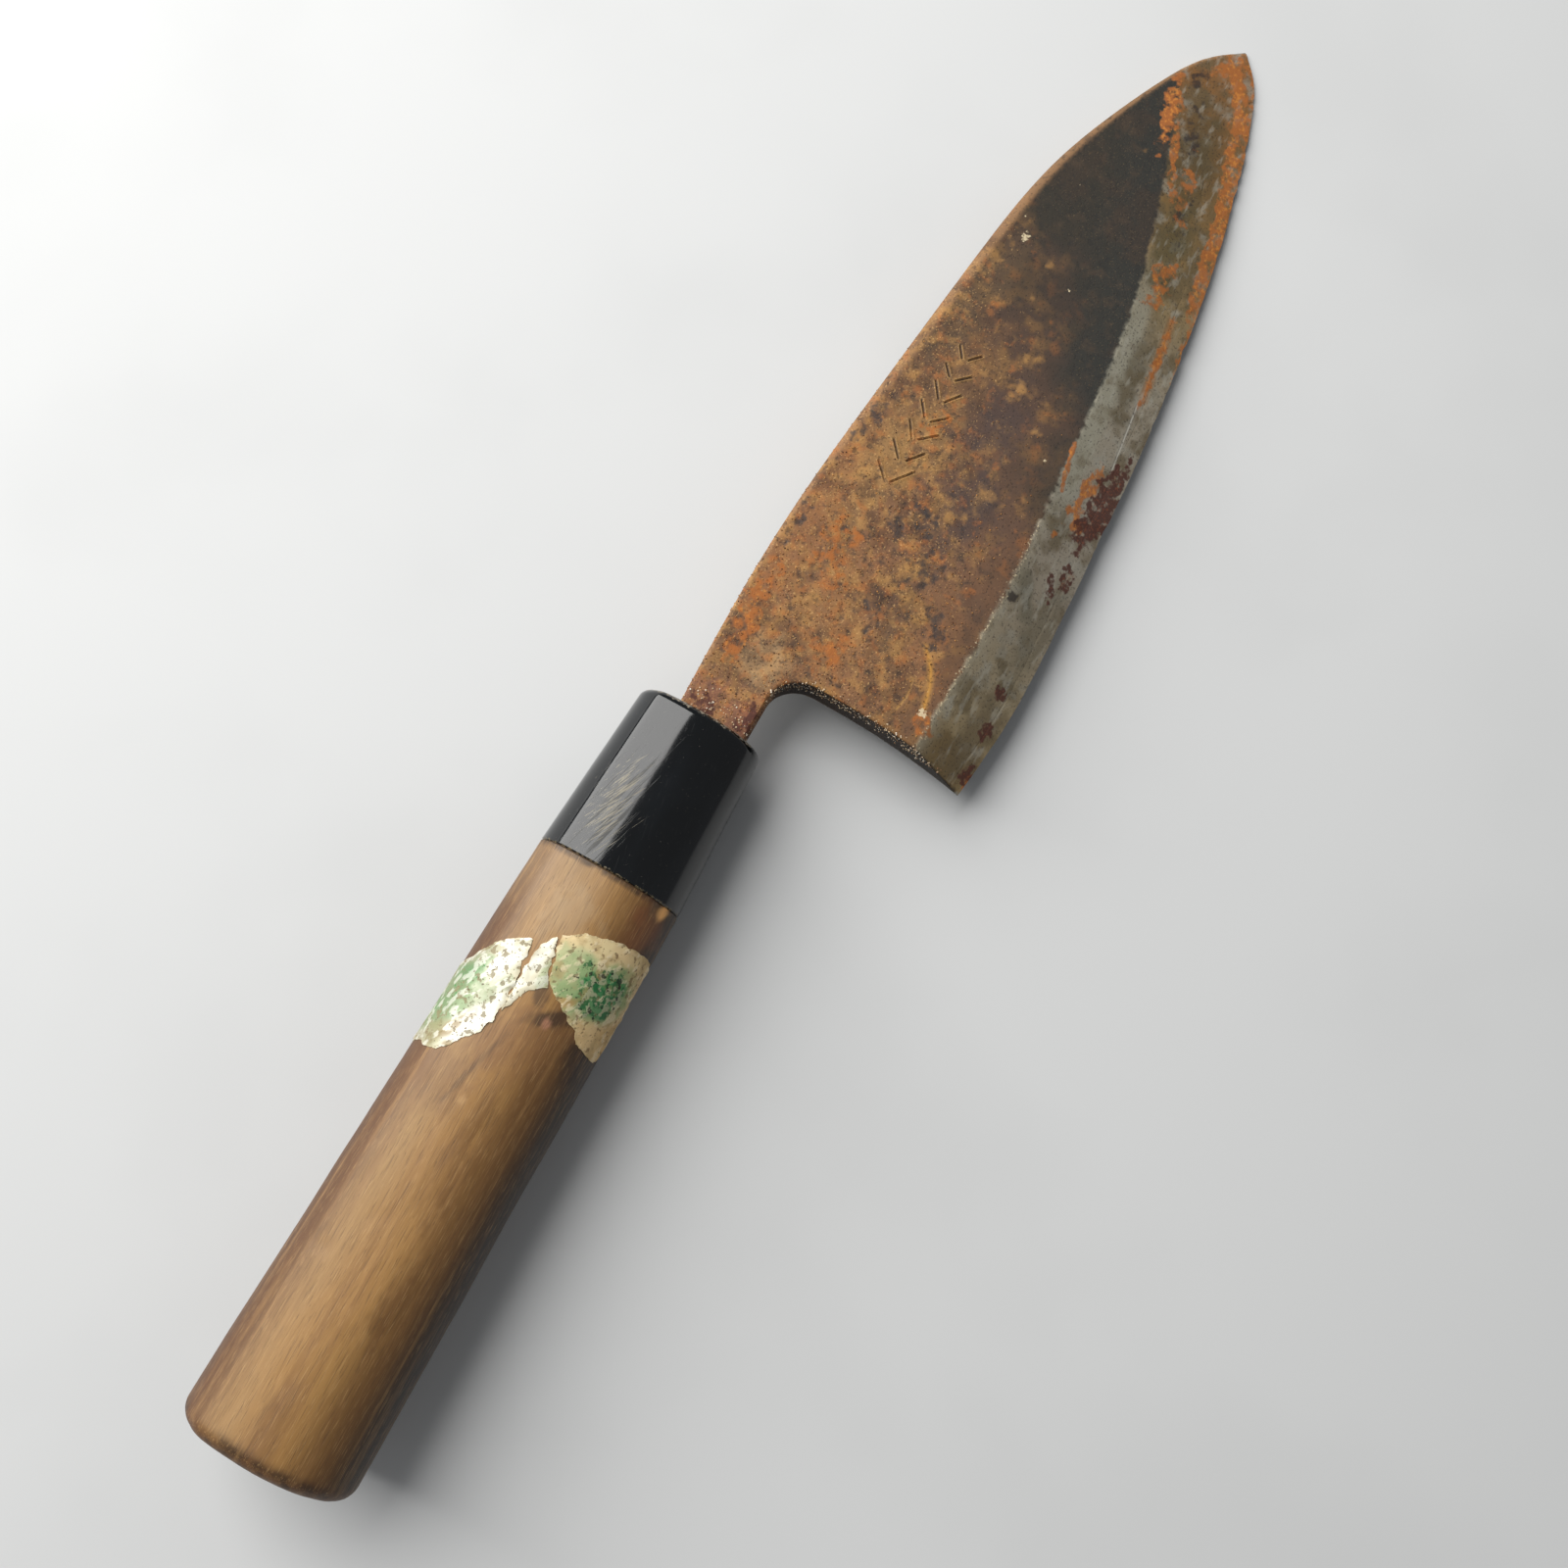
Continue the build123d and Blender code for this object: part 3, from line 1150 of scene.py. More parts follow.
    def _guides(self) -> tuple[Array, list[Array]]:
        """Extra points and lines where the upper face bends sharply.

        Returns:
            Extra points, and lines that edges follow.
        """
        x = np.arange(13.5, 0.925 * self.length, self.step)
        shinogi = np.column_stack([x, self.bevel_y(x)])
        extra = [self._side_points(shinogi, (-0.16, 0.16))]
        ease = self.spine_ease(self.spine[:, 0])[:, None]
        inward = self._side_points(self.spine, (-1.0,)) - self.spine
        for share in (0.06, 0.22, 0.48, 0.75, 1.0):
            extra.append(self.spine + inward * ease * share)
        extra.append(self._side_points(self.choil, (0.12, 0.3, 0.55)))
        lines = [shinogi]
        for mark in self.marks:
            lines.append(mark.line)
            offsets = mark.half_width * np.array([-2, -1.35, -0.65, 0.65, 1.35, 2])
            extra.append(self._side_points(mark.line, offsets))
        return np.vstack(extra), lines

    def _iron_outline(self) -> Array:
        """Outline of the iron: spine, forge-weld line on the bevel, choil, neck and tang.

        Returns:
            Corners of the loop in plan.
        """
        x = np.arange(11.0, self.length, self.step)
        edge = np.column_stack([x, self.edge_y(x)])
        rise = (self.weld(edge) - self.back - self.edge_thickness) / self.bevel_slope(x)
        weld_line = np.column_stack([x, edge[:, 1] + rise])
        weld_line = weld_line[weld_line[:, 1] < self.spine_y(x) - 0.15]
        last = weld_line[-1, 0]
        choil = self.choil[self.choil[:, 1] > weld_line[4, 1] + 0.3]
        weld_line = weld_line[weld_line[:, 0] > choil[-1, 0] - 0.1]
        spine = self.spine[self.spine[:, 0] < last]
        end = -self.tang_length
        half = self.tang_end_width / 2
        tang = [(0, self.neck_bottom), (end, self.tang_end_y - half)]
        tang_back = [(end, self.tang_end_y + half), (0, self.neck_top)]
        return np.vstack(
            [
                spine, weld_line[::-1], choil[::-1],
                even_steps([(self.neck_length, self.neck_bottom), tang[0]], self.step)[1:],
                even_steps(tang, 2.0)[1:], even_steps(tang_back, 2.0)[:-1],
            ]
        )

    def _steel_outline(self) -> Array:
        """Outline of the steel plate: the blade's own, from just in front of the ferrule.

        Returns:
            Corners of the loop in plan.
        """
        spine = self.spine[self.spine[:, 0] > self.steel_start + 0.1]
        start = self.steel_start
        neck = even_steps([(self.neck_length, self.neck_bottom), (start, self.neck_bottom)], self.step)
        return np.vstack(
            [
                [(start, float(self.spine_y(np.array([start]))[0]))], spine, self.edge[::-1][1:],
                self.choil[::-1][1:], neck[1:],
            ]
        )

    def paint(self, points: Array) -> tuple[Array, dict[str, Array]]:
        """Colours of the upper side, with painted shade on the choil's wall, and the regions that its
        finish uses.

        Args:
            points: of the mesh.

        Returns:
            A linear colour for each point, and shares by region name.
        """
        plan = points[:, :2]
        x, y = plan.T
        crust = self.crustiness(plan)
        regions = {name: np.zeros(len(points)) for name in MARK_REGIONS}
        paint = coat(Grade.OLIVE.value, len(points))
        low_ahead = ramp(6, -6, y - self.bevel_y(x) - 9) * ramp(60, 85, x)
        lay_colour(paint, Grade.CHARCOAL.value, 0.8 * low_ahead)
        DARK_PATINA.lay(paint, plan)
        lay_colour(paint, "#3a2818", ramp(0.0, 0.7, crust))
        lay_colour(paint, Grade.CRUST.value, crust * ramp(100, 40, x))
        UNDER_CRUST.lay(paint, plan, crust)
        lay_colour(paint, "#41302a", 0.7 * crust * ramp(10, -14, y + 6) * ramp(25, 60, x))
        for mottle in CRUST_MOTTLES:
            mottle.lay(paint, plan, crust)
        lay_stains(paint, plan, FLAT_STAINS, regions)
        on_bevel = ramp(0.5, -0.3, y - self.bevel_y(x) + 0.5 * cloud(plan, 1.2, 4, 46))
        places = [row[0] for row in BEVEL_COLOURS]
        shades = np.array([linear(row[1]) for row in BEVEL_COLOURS])
        bevel = np.column_stack([np.interp(x, places, shades[:, i]) for i in range(4)])
        for mottle in BEVEL_MOTTLES:
            mottle.lay(bevel, plan)
        below = self.bevel_y(x) - y
        strip = ramp(4.4, 2.4, below) * ramp(58, 68, x) * ramp(118, 98, x)
        lay_colour(bevel, Grade.PALE.value, 0.85 * strip)
        lay_stains(bevel, plan, BEVEL_STAINS, regions)
        near_edge = y - self.edge_y(x)
        rim = bell(near_edge, 0, 1.5) * ramp(86, 100, x)
        regions["orange"] = np.maximum(regions["orange"], 0.93 * rim)
        border = bell(below, 0, 1.5) * ramp(68, 56, x)
        lay_colour(bevel, "#99917d", 0.6 * border)
        regions["pale"] = np.maximum(regions["pale"], 0.72 * border)
        paint += (bevel - paint) * on_bevel[:, None]
        spine_gap = away_from(plan, self.spine)
        strip = ramp(1.15, 0.75, spine_gap / self.spine_ease(x))
        lay_colour(paint, Grade.TAN.value, 0.7 * strip * ramp(2, 12, x))
        # Painted shade: the choil's wall is darkened almost to black, as it lies in shadow.
        side = ramp(0.3, 0.02, away_from(plan, self.choil))
        face = side * ramp(-0.1, -0.4, points[:, 2] - self.back - self.thickness(x))
        lay_colour(paint, "#150f0b", 0.92 * face * ramp(9, 12, x))
        for mark in self.marks:
            near, gap = mark.reach(plan)
            marked = paint[near]
            lay_colour(marked, mark.lip, 0.75 * bell(gap, 1.3, 0.5))
            lay_colour(marked, mark.ground, 0.9 * ramp(1.0, 0.3, gap))
            paint[near] = marked
        rusty = ramp(0.02, 0.12, paint[:, 0] - paint[:, 2])
        # The regions stay off the choil's wall, where shade is painted.
        shown = 1 - face
        regions = {name: share * shown for name, share in regions.items()}
        regions["crust"] = crust * (1 - on_bevel) * shown
        regions["bare"] = on_bevel * (1 - 0.85 * rusty) * ramp(150, 110, x)
        regions["smooth"] = (1 - crust) * (1 - on_bevel)
        regions["bevel"] = on_bevel * shown
        top = ramp(self.back + 3.0, self.back + 3.5, points[:, 2]) * ramp(0.3, 1.0, x)
        regions["grain"] = crust * (1 - on_bevel) * ramp(90, 5, x) * shown * top
        rim_grain = bell(away_from(plan, self.choil), 0, 0.5)
        by_ferrule = 0.5 * ramp(7.0, 1.0, x)
        regions["pale_grain"] = np.clip(rim_grain + by_ferrule, 0, 1) * top
        return paint, regions

    def _finished(self, name: str, slab: Slab) -> Mesh:
        """Builds a slab, paints it and stores its regions.

        Args:
            name: of the mesh.
            slab: the shape.

        Returns:
            The new mesh.
        """
        points, faces = slab.build()
        mesh = mesh_from(name, self.knife.metres(points), faces, self.merge)
        own = points_of(mesh) * MM_PER_M - self.knife.origin
        paint, regions = self.paint(own)
        if name == "edge_steel":
            self._paint_back(own, paint, regions)
        store(mesh, paint, regions)
        return mesh

    def _paint_back(self, points: Array, paint: Array, regions: dict[str, Array]) -> None:
        """Colours of the flat back, which no rust crust covers evenly.

        Args:
            points: of the mesh.
            paint: changed in place.
            regions: changed in place.
        """
        plan = points[:, :2]
        under = points[:, 2] < self.back + 0.27 + self.hollow(plan)
        back = coat("#6f6d67", len(points))
        for mottle in BACK_MOTTLES:
            mottle.lay(back, plan)
        lay_colour(back, "#8f8d86", 0.5 * ramp(0.02, 0.0, self.hollow(plan)))
        paint[under] = back[under]
        rusty = ramp(0.02, 0.12, back[:, 0] - back[:, 2])
        for share in regions.values():
            share[under] = 0
        regions["bare"][under] = (1 - 0.85 * rusty)[under]
        regions["crust"][under] = 0.6 * rusty[under]
        regions["bevel"][under] = 1

    def build(self) -> None:
        """Makes the iron body, the steel plate and the loose grains on the body."""
        extra, lines = self._guides()
        iron = Slab(
            self._iron_outline(), self.upper, self.iron_lower, self.step, 1.6, extra, lines, 4,
            lambda plan: plan[:, 0] > -2.0,
        )
        steel = Slab(self._steel_outline(), self.steel_upper, self.steel_lower, 0.6, 0.7)
        skin = RUSTED_BLADE.material(self.knife)
        body = place_piece("blade_body", self._finished("blade_body", iron), skin)
        place_piece("edge_steel", self._finished("edge_steel", steel), skin)
        Grit(self.knife).build(body)


DARK_PATINA = Mottle("#2c2014", 0.7, 0, 0.5, 9, 41, 4)
UNDER_CRUST = Mottle("#4b3626", 0.7, -0.1, 0.5, 7, 42)
CRUST_MOTTLES = (
    Mottle("#85602f", 0.7, 0, 0.5, 5, 43), Mottle(Grade.ORANGE.value, 0.6, 0.3, 0.7, 3, 44),
    Mottle(Grade.UMBER.value, 1, 0.3, 0.6, 2.4, 45),
)
BEVEL_MOTTLES = (Mottle("#57492f", 0.75, 0, 0.5, 5, 47), Mottle("#8d8a7e", 0.5, 0.1, 0.6, 3.4, 48))
BACK_MOTTLES = (
    Mottle("#4c4034", 0.85, -0.1, 0.5, 13, 61), Mottle("#7a4f28", 0.85, 0.1, 0.5, 6, 62),
    Mottle("#37271c", 0.85, 0.25, 0.6, 4, 63),
)

# Station, and the colour of the bevel there.
BEVEL_COLOURS = (
    (11, "#84704a"), (28, "#8a7c61"), (50, "#8a8070"), (65, "#8c8475"), (90, "#8d8473"),
    (105, "#84714f"), (118, "#745c35"), (135, "#664c27"), (162, "#7c5226"),
)

FLAT_STAINS = (
    Stain(2.5, -2, 11, 15, "#7d5038", 0, 0.8), Stain(13, -3.5, 9, 8, "#a3835a", 20, 0.8),
    Stain(24, -9, 20, 14, "#8d6237", 10, 0.5), Stain(40, 1, 36, 8, "#85572f", 0, 0.6),
    Stain(57, -5, 24, 11, "#916c3c", -8, 0.75), Stain(74, -7, 22, 11, "#6a4a2a", -8, 0.6),
    Stain(54, -20, 12, 8, "#30282a", 10, 0.6), Stain(24, -20, 14, 8, "#604528", 10, 0.5),
    Stain(67, -18, 18, 8, "#3d2f2c", 0, 0.6), Stain(88, -3, 28, 7, "#4f3c26", -8, 0.7),
    Stain(18, 2, 26, 5.5, "orange", 4, 0.9), Stain(34, -5, 22, 9, "orange", 10, 0.82),
    Stain(20, -12, 14, 6, "orange", -30, 0.8), Stain(64, -8, 8, 6, "orange", -20, 0.84),
    Stain(17, -31, 6, 5, "orange", 0, 0.85), Stain(141, -15.8, 18, 4.4, "orange", 14, 1),
    Stain(61, 0.8, 6, 4.4, "black", 30, 0.96), Stain(56, 2.2, 4.6, 2.8, "black", 0, 0.94),
    Stain(48.5, -14.5, 9, 6, "black", 40, 0.95), Stain(44.5, -11, 7, 4, "black", 60, 0.92),
    Stain(41, -19, 12, 7, "black", 20, 0.9), Stain(32.6, -25, 11, 7, "black", 20, 0.88),
    Stain(37, 3.2, 14, 3, "black", 0, 0.86), Stain(28, -15, 12, 6, "black", 50, 0.8),
    Stain(150, -17.2, 9, 3.4, "black", -20, 0.92), Stain(4, -5.6, 8, 4, "red", 0, 0.9),
    Stain(2, 1, 5, 6, "red", 0, 0.86), Stain(18.7, -29.7, 2.6, 2, "pale", 0, 1),
    Stain(104, -4.8, 2.8, 2.2, "pale", 0, 1), Stain(107.6, -3.1, 1.2, 0.9, "pale", 0, 1),
    Stain(68, -27.1, 1.2, 1, "pale", 0, 1), Stain(118.2, -8.5, 1, 0.8, "pale", 0, 1),
    Stain(98.7, -16.1, 0.9, 0.9, "pale", 0, 1),
)

BEVEL_STAINS = (
    Stain(14, -36, 10, 12, "#5c4826", 0, 0.75), Stain(20, -39.5, 18, 6, "#5a4c34", 0, 0.7),
    Stain(40, -40, 22, 5, "#5b5340", -2, 0.6), Stain(46, -35, 12, 3, "#4d4a39", 30, 0.6),
    Stain(92, -33, 20, 3.6, "#564d38", 6, 0.65), Stain(118, -28, 20, 6, "#474024", 10, 0.7),
    Stain(137, -24, 24, 8, "#45391d", 14, 0.6), Stain(43.5, -33.4, 3.4, 2.4, "black", 0, 1),
    Stain(122, -27, 20, 5, "black", 14, 0.84), Stain(140, -21, 16, 5, "black", 18, 0.84),
    Stain(69, -31, 13, 1.3, "orange", 12, 1), Stain(67.2, -35.6, 19, 3.8, "orange", -8, 1),
    Stain(62.5, -37, 6, 3, "orange", 30, 1), Stain(67, -39.4, 24, 6.4, "red", -2, 1),
    Stain(53.1, -39.9, 5, 3.4, "red", 0, 0.98), Stain(48.6, -38.6, 6.4, 2.4, "red", 20, 0.94),
    Stain(29.4, -39.7, 3.6, 2.6, "red", 0, 0.95), Stain(22.6, -40.4, 5, 3, "red", 0, 0.96),
    Stain(15.3, -40.9, 5, 3.2, "red", 0, 0.96), Stain(14, -42, 4, 2, "orange", 0, 0.9),
    Stain(97, -35.6, 22, 2.4, "orange", 5, 0.93), Stain(110, -29.6, 14, 5.6, "orange", 4, 0.92),
    Stain(120, -34.6, 30, 3.4, "orange", 9, 0.97), Stain(133, -20.4, 22, 2.2, "orange", 20, 0.93),
    Stain(137, -30.6, 34, 4.4, "orange", 18, 0.96), Stain(151, -26, 24, 4, "orange", 34, 0.97),
    Stain(156.5, -21.6, 12, 6, "orange", -40, 0.88), Stain(128, -25, 18, 5, "orange", 14, 0.82),
)

# Soft iron and steel under years of kitchen rust: dull grains of brown and orange, a smooth dark
# patina ahead of them, and a bevel where the worn metal still shines a little.
RUSTED_BLADE = Finish(
    "rusted_wrought_iron_and_steel", Grade.CRUST.value, 0.74, 0, painted=True,
    patches=(
        Patch("#6d6f6d", 9, 0, 0.3, "bare", 1, 0, roughness=0.5, metal=0.3),
        Patch("#452c1a", 4.5, 0.46, 0.68, "crust", 0.2, 0.6, detail=10, roughness=0.8, relief=-0.04),
        Patch("#a87c44", 3.2, 0.48, 0.7, "crust", 0.2, 0.6, detail=10, roughness=0.85, relief=0.03),
        Patch("#a3602a", 2.2, 0.52, 0.7, "crust", 0.2, 0.45, detail=9, roughness=0.85),
        Patch("#2b1c13", 1.3, 0.53, 0.7, "crust", 0.2, 0.6, detail=8, relief=-0.03),
        Patch("#1c120d", 0.42, 0.56, 0.68, "", 0, 0.5, roughness=0.85, relief=-0.04),
        Patch("#c99f66", 0.34, 0.58, 0.7, "crust", 0.15, 0.5, roughness=0.85, relief=0.03),
        Patch("#3f2e1c", 3, 0.5, 0.7, "smooth", 0.4, 0.45, detail=10, roughness=0.6),
        Patch("#11100d", 1.2, 0.5, 0.68, "smooth", 0.4, 0.5, detail=8, relief=-0.015),
        Patch("#665438", 0.3, 0.6, 0.7, "smooth", 0.4, 0.4),
        Patch("#5d4f34", 3, 0.5, 0.7, "bevel", 0.6, 0.5, detail=10, roughness=0.6),
        Patch("#a8a598", 1.4, 0.54, 0.7, "bevel", 0.6, 0.35, (3, 1, 1), detail=8),
        Patch("#3a2f1f", 0.45, 0.6, 0.7, "bevel", 0.6, 0.35, roughness=0.7, relief=-0.02),
        Patch("#241c1b", 1.6, 0.34, 0.56, "black", 0.6, 0.8, detail=9, roughness=0.6, relief=-0.02),
        Patch("#9c5a22", 1.5, 0.3, 0.54, "orange", 0.6, 0.85, detail=9, roughness=0.85, relief=0.02),
        Patch("#c98232", 0.7, 0.48, 0.64, "orange", 0.6, 0.5, detail=6, roughness=0.85),
        Patch("#461f14", 1.2, 0.3, 0.46, "red", 0.6, 0.92, detail=8, roughness=0.8, relief=0.02),
        Patch("#8a4c30", 0.4, 0.54, 0.64, "red", 0.6, 0.4),
        Patch("#cfbf9c", 0.45, 0.36, 0.52, "pale", 0.6, 0.8, detail=6, roughness=0.85, relief=0.03),
    ),
)

# Loose crumbs of the same rust, dull and a little lighter than the skin that they sit on.
RUST_CRUMBS = Finish(
    "dull_rust_crumbs", "#80552f", 0.9,
    patches=(Patch("#4a2d1c", 1.2, 0.48, 0.56, detail=4), Patch("#b07c42", 0.9, 0.54, 0.6, detail=4)),
)

# Pale mineral grains that stick to the rust by the ferrule and along the choil.
PALE_CRUMBS = Finish(
    "pale_mineral_grains", "#c2ab8c", 0.85,
    patches=(Patch("#8f6a4c", 0.9, 0.5, 0.58, detail=4), Patch("#e6dccb", 0.7, 0.56, 0.62, detail=4)),
)


# ---- Skins of rings: grip, ferrule and seal ----


@dataclass(frozen=True)
class Ring:
    """One section of a skin.

    Args:
        station: where it is.
        width: along y.
        height: along z.
        squareness: 1 is an oval, near 0 a rectangle.
        chestnut: 1 is the handle's own section with its ridge.
        y: its middle.
    """

    station: float
    width: float
    height: float
    squareness: float = 1.0
    chestnut: float = 0.0
    y: float = 0.0

    def row(self) -> list[float]:
        """The ring's numbers in order."""
        return [self.station, self.width, self.height, self.squareness, self.chestnut, self.y]


@dataclass
class HandleShape:
    """Sizes that grip, ferrule and seal share.

    Args:
        blade: gives the tang.
    """

    blade: Blade
    handle_length: float = 125.0
    ferrule_length: float = 29.0
    mouth: Point = (21.8, 17.8)
    seam: Point = (24.6, 19.4)
    butt: Point = (27.8, 22.6)
    ridge_across: float = 0.335
    ridge_up: float = 0.43
    ridge_soft: float = 1.3
    around: int = 176

    def __post_init__(self) -> None:
        """Works out the chestnut section once, at width and height 1."""
        self.section = self._section()

    def _section(self) -> Array:
        """The chestnut section: an oval with one soft ridge on its upper spine side.

        Returns:
            Points round a section of width 1 and height 1, from the spine side over the top.
        """
        width, height = self.seam
        ridge = np.array([self.ridge_across * width, self.ridge_up * height])
        turn = np.linspace(math.pi / 2, 2 * math.pi, 240)
        oval = np.column_stack([width / 2 * np.cos(turn), height / 2 * np.sin(turn)])
        rise = self._tangent_arc(oval[-1], np.array([0.0, 1.0]), ridge)
        fall = self._tangent_arc(oval[0], np.array([1.0, 0.0]), ridge)
        loop = even_steps(np.vstack([rise, fall[::-1][1:], oval[1:]]), 0.1)[:-1]
        reach = int(self.ridge_soft / 0.1)
        shifts = range(-reach // 2, reach // 2 + 1)
        for _ in range(2):
            loop = sum(np.roll(loop, shift, axis=0) for shift in shifts) / len(shifts)
        loop *= np.array([width, height]) / np.ptp(loop, axis=0)
        loop -= (loop.max(axis=0) + loop.min(axis=0)) / 2
        first = int(np.argmin(np.abs(np.arctan2(loop[:, 1], loop[:, 0]))))
        loop = np.roll(loop, -first, axis=0)
        even = even_steps(np.vstack([loop, loop[:1]]), 0.05)
        pick = np.linspace(0, len(even) - 1, self.around + 1)[:-1]
        return even[np.round(pick).astype(int)] / (width, height)

    @staticmethod
    def _tangent_arc(start: Array, tangent: Array, end: Array) -> Array:
        """An arc that leaves a point in one direction and ends at another.

        Args:
            start: where it starts.
            tangent: its direction there.
            end: where it ends.

        Returns:
            Points along the arc.
        """
        chord = end - start
        normal = np.array([-tangent[1], tangent[0]])
        radius = (chord @ chord) / (2 * (chord @ normal))
        centre = start + radius * normal
        sweep = 2 * math.atan2(chord @ normal, chord @ tangent)
        turn = np.linspace(0, sweep, 40)
        x, y = start - centre
        cosine, sine = np.cos(turn), np.sin(turn)
        return centre + np.column_stack([x * cosine - y * sine, x * sine + y * cosine])

    def size_at(self, station: Array) -> tuple[Array, Array]:
        """Width and height of the handle at some stations.

        Args:
            station: where.

        Returns:
            Widths and heights.
        """
        places = [-self.handle_length, -self.ferrule_length, 0.0]
        sizes = np.array([self.butt, self.seam, self.mouth])
        return np.interp(station, places, sizes[:, 0]), np.interp(station, places, sizes[:, 1])

    def body_ring(self, station: float, inset: float = 0.0) -> Ring:
        """The handle's own section at a station, smaller by an inset all round."""
        width, height = self.size_at(np.array(station))
        return Ring(station, float(width) - 2 * inset, float(height) - 2 * inset, 1.0, 1.0)

    def tang_ring(self, station: float, gap: float) -> Ring:
        """The tang's section at a station, larger by a gap all round.

        Args:
            station: where.
            gap: how much larger.

        Returns:
            The ring.
        """
        blade = self.blade
        share = -station / blade.tang_length
        neck_width = blade.neck_top - blade.neck_bottom
        width = neck_width + share * (blade.tang_end_width - neck_width)
        thickness = blade.neck_thickness + share * (blade.tang_end_thickness - blade.neck_thickness)
        neck_y = (blade.neck_top + blade.neck_bottom) / 2
        y = neck_y + share * (blade.tang_end_y - neck_y)
        return Ring(station, width + 2 * gap, thickness + 2 * gap, 0.08, 0.0, y)

    def girth(self, y: Array, station: float) -> Array:
        """Place round the section, as a share, where the upper side has a given y.

        Args:
            y: across the handle; past the side it counts on down the wall.
            station: of the section.

        Returns:
            Shares of the way round, from the spine side over the top.
        """
        width, height = self.size_at(np.array(station))
        loop = self.section[: self.around // 2 + 24] * (width, height)
        gaps = np.linalg.norm(np.diff(loop, axis=0), axis=1)
        travelled = np.concatenate([[0], np.cumsum(gaps)])
        spine_end = int(np.argmax(loop[:, 0] < 0.47 * width))
        edge_end = int(np.argmin(loop[:, 0] > -0.48 * width))
        y = np.asarray(y, float)
        upper = slice(spine_end, edge_end)
        on_top = np.interp(-y, -loop[upper, 0], travelled[upper])
        over_spine = np.maximum(y - loop[spine_end, 0], 0)
        over_edge = np.maximum(loop[edge_end - 1, 0] - y, 0)
        place = on_top - over_spine + over_edge
        shares = np.arange(len(loop)) / self.around
        step = gaps[0] * self.around
        inside_share = np.interp(place, travelled, shares)
        return np.where(place < 0, place / step, inside_share)

    def surface(self, station: Array, share: Array) -> Array:
        """Points of the handle's skin.

        Args:
            station: of each point.
            share: of the way round.

        Returns:
            Points in the knife's own frame.
        """
        place = (np.asarray(share) % 1.0) * self.around
        low = np.floor(place).astype(int)
        part = (place - low)[:, None]
        unit = self.section[low % self.around] * (1 - part)
        unit = unit + self.section[(low + 1) % self.around] * part
        width, height = self.size_at(np.asarray(station))
        return np.column_stack([station, unit[:, 0] * width, unit[:, 1] * height])


def ring_skin_tree() -> NodeTree:
    """Builds the geometry nodes that stretch one closed skin over a row of rings.

    Returns:
        A tree whose geometry input has one point per ring: x is the station, y the width and z the
        height, and its "shape" attribute holds squareness, chestnut share and middle.
    """
    tree, given = start_tree(
        "ring_skin",
        {
            "Rings": "Geometry", "Section": "Object", "Ring Count": "Int", "Around": "Int",
            "Merge": "Float", "Material": "Material",
        },
        "Skin",
    )
    row = maths(tree, "ADD", given["Around"], 1.0)
    grid = add_node(
        tree, "GeometryNodeMeshGrid", None, {"Vertices X": given["Ring Count"], "Vertices Y": row},
    )
    index = add_node(tree, "GeometryNodeInputIndex").outputs[0]
    # Half a step keeps whole numbers whole when they are divided.
    ring = maths(tree, "FLOOR", maths(tree, "DIVIDE", maths(tree, "ADD", index, 0.5), row))
    place = maths(tree, "SUBTRACT", index, maths(tree, "MULTIPLY", ring, row))
    place = maths(tree, "FLOORED_MODULO", place, given["Around"])
    position = add_node(tree, "GeometryNodeInputPosition").outputs[0]
    shape = add_node(
        tree, "GeometryNodeInputNamedAttribute", {"data_type": "FLOAT_VECTOR"}, {"Name": "shape"},
    ).outputs["Attribute"]
    section = add_node(tree, "GeometryNodeObjectInfo", None, {"Object": given["Section"]})
    sampled = []
    for source, value, where in (
        (given["Rings"], position, ring), (given["Rings"], shape, ring),
        (section.outputs["Geometry"], position, place),
    ):
        node = add_node(
            tree, "GeometryNodeSampleIndex", {"data_type": "FLOAT_VECTOR", "domain": "POINT"},
            {"Geometry": source, "Value": value, "Index": where},
        )
        sampled.append(node.outputs["Value"])
    size, form = (
        add_node(tree, "ShaderNodeSeparateXYZ", None, {0: value}).outputs for value in sampled[:2]
    )
    share = maths(tree, "DIVIDE", place, given["Around"])
    angle = maths(tree, "MULTIPLY", share, 2 * math.pi)
    sides = []
    for operation in ("COSINE", "SINE"):
        wave = maths(tree, operation, angle)
        bent = maths(tree, "POWER", maths(tree, "ABSOLUTE", wave), form["X"])
        signed = maths(tree, "MULTIPLY", bent, maths(tree, "SIGN", wave))
        sides.append(maths(tree, "MULTIPLY", signed, 0.5))
    oval = add_node(tree, "ShaderNodeCombineXYZ", None, {0: 0.0, 1: sides[0], 2: sides[1]})
    blend = add_node(
        tree, "ShaderNodeMix", {"data_type": "VECTOR"},
        {0: form["Y"], 4: oval.outputs[0], 5: sampled[2]},
    ).outputs[1]
    unit = add_node(tree, "ShaderNodeSeparateXYZ", None, {0: blend}).outputs
    y = maths(tree, "MULTIPLY_ADD", unit["Y"], size["Y"], form["Z"])
    z = maths(tree, "MULTIPLY", unit["Z"], size["Z"])
    target = add_node(tree, "ShaderNodeCombineXYZ", None, {0: size["X"], 1: y, 2: z})
    moved = add_node(
        tree, "GeometryNodeSetPosition", None,
        {"Geometry": grid.outputs["Mesh"], "Position": target.outputs[0]},
    )
    closed = add_node(
        tree, "GeometryNodeMergeByDistance", None,
        {"Geometry": moved.outputs[0], "Distance": given["Merge"]},
    )
    end_tree(tree, closed.outputs[0], given["Material"])
    return tree


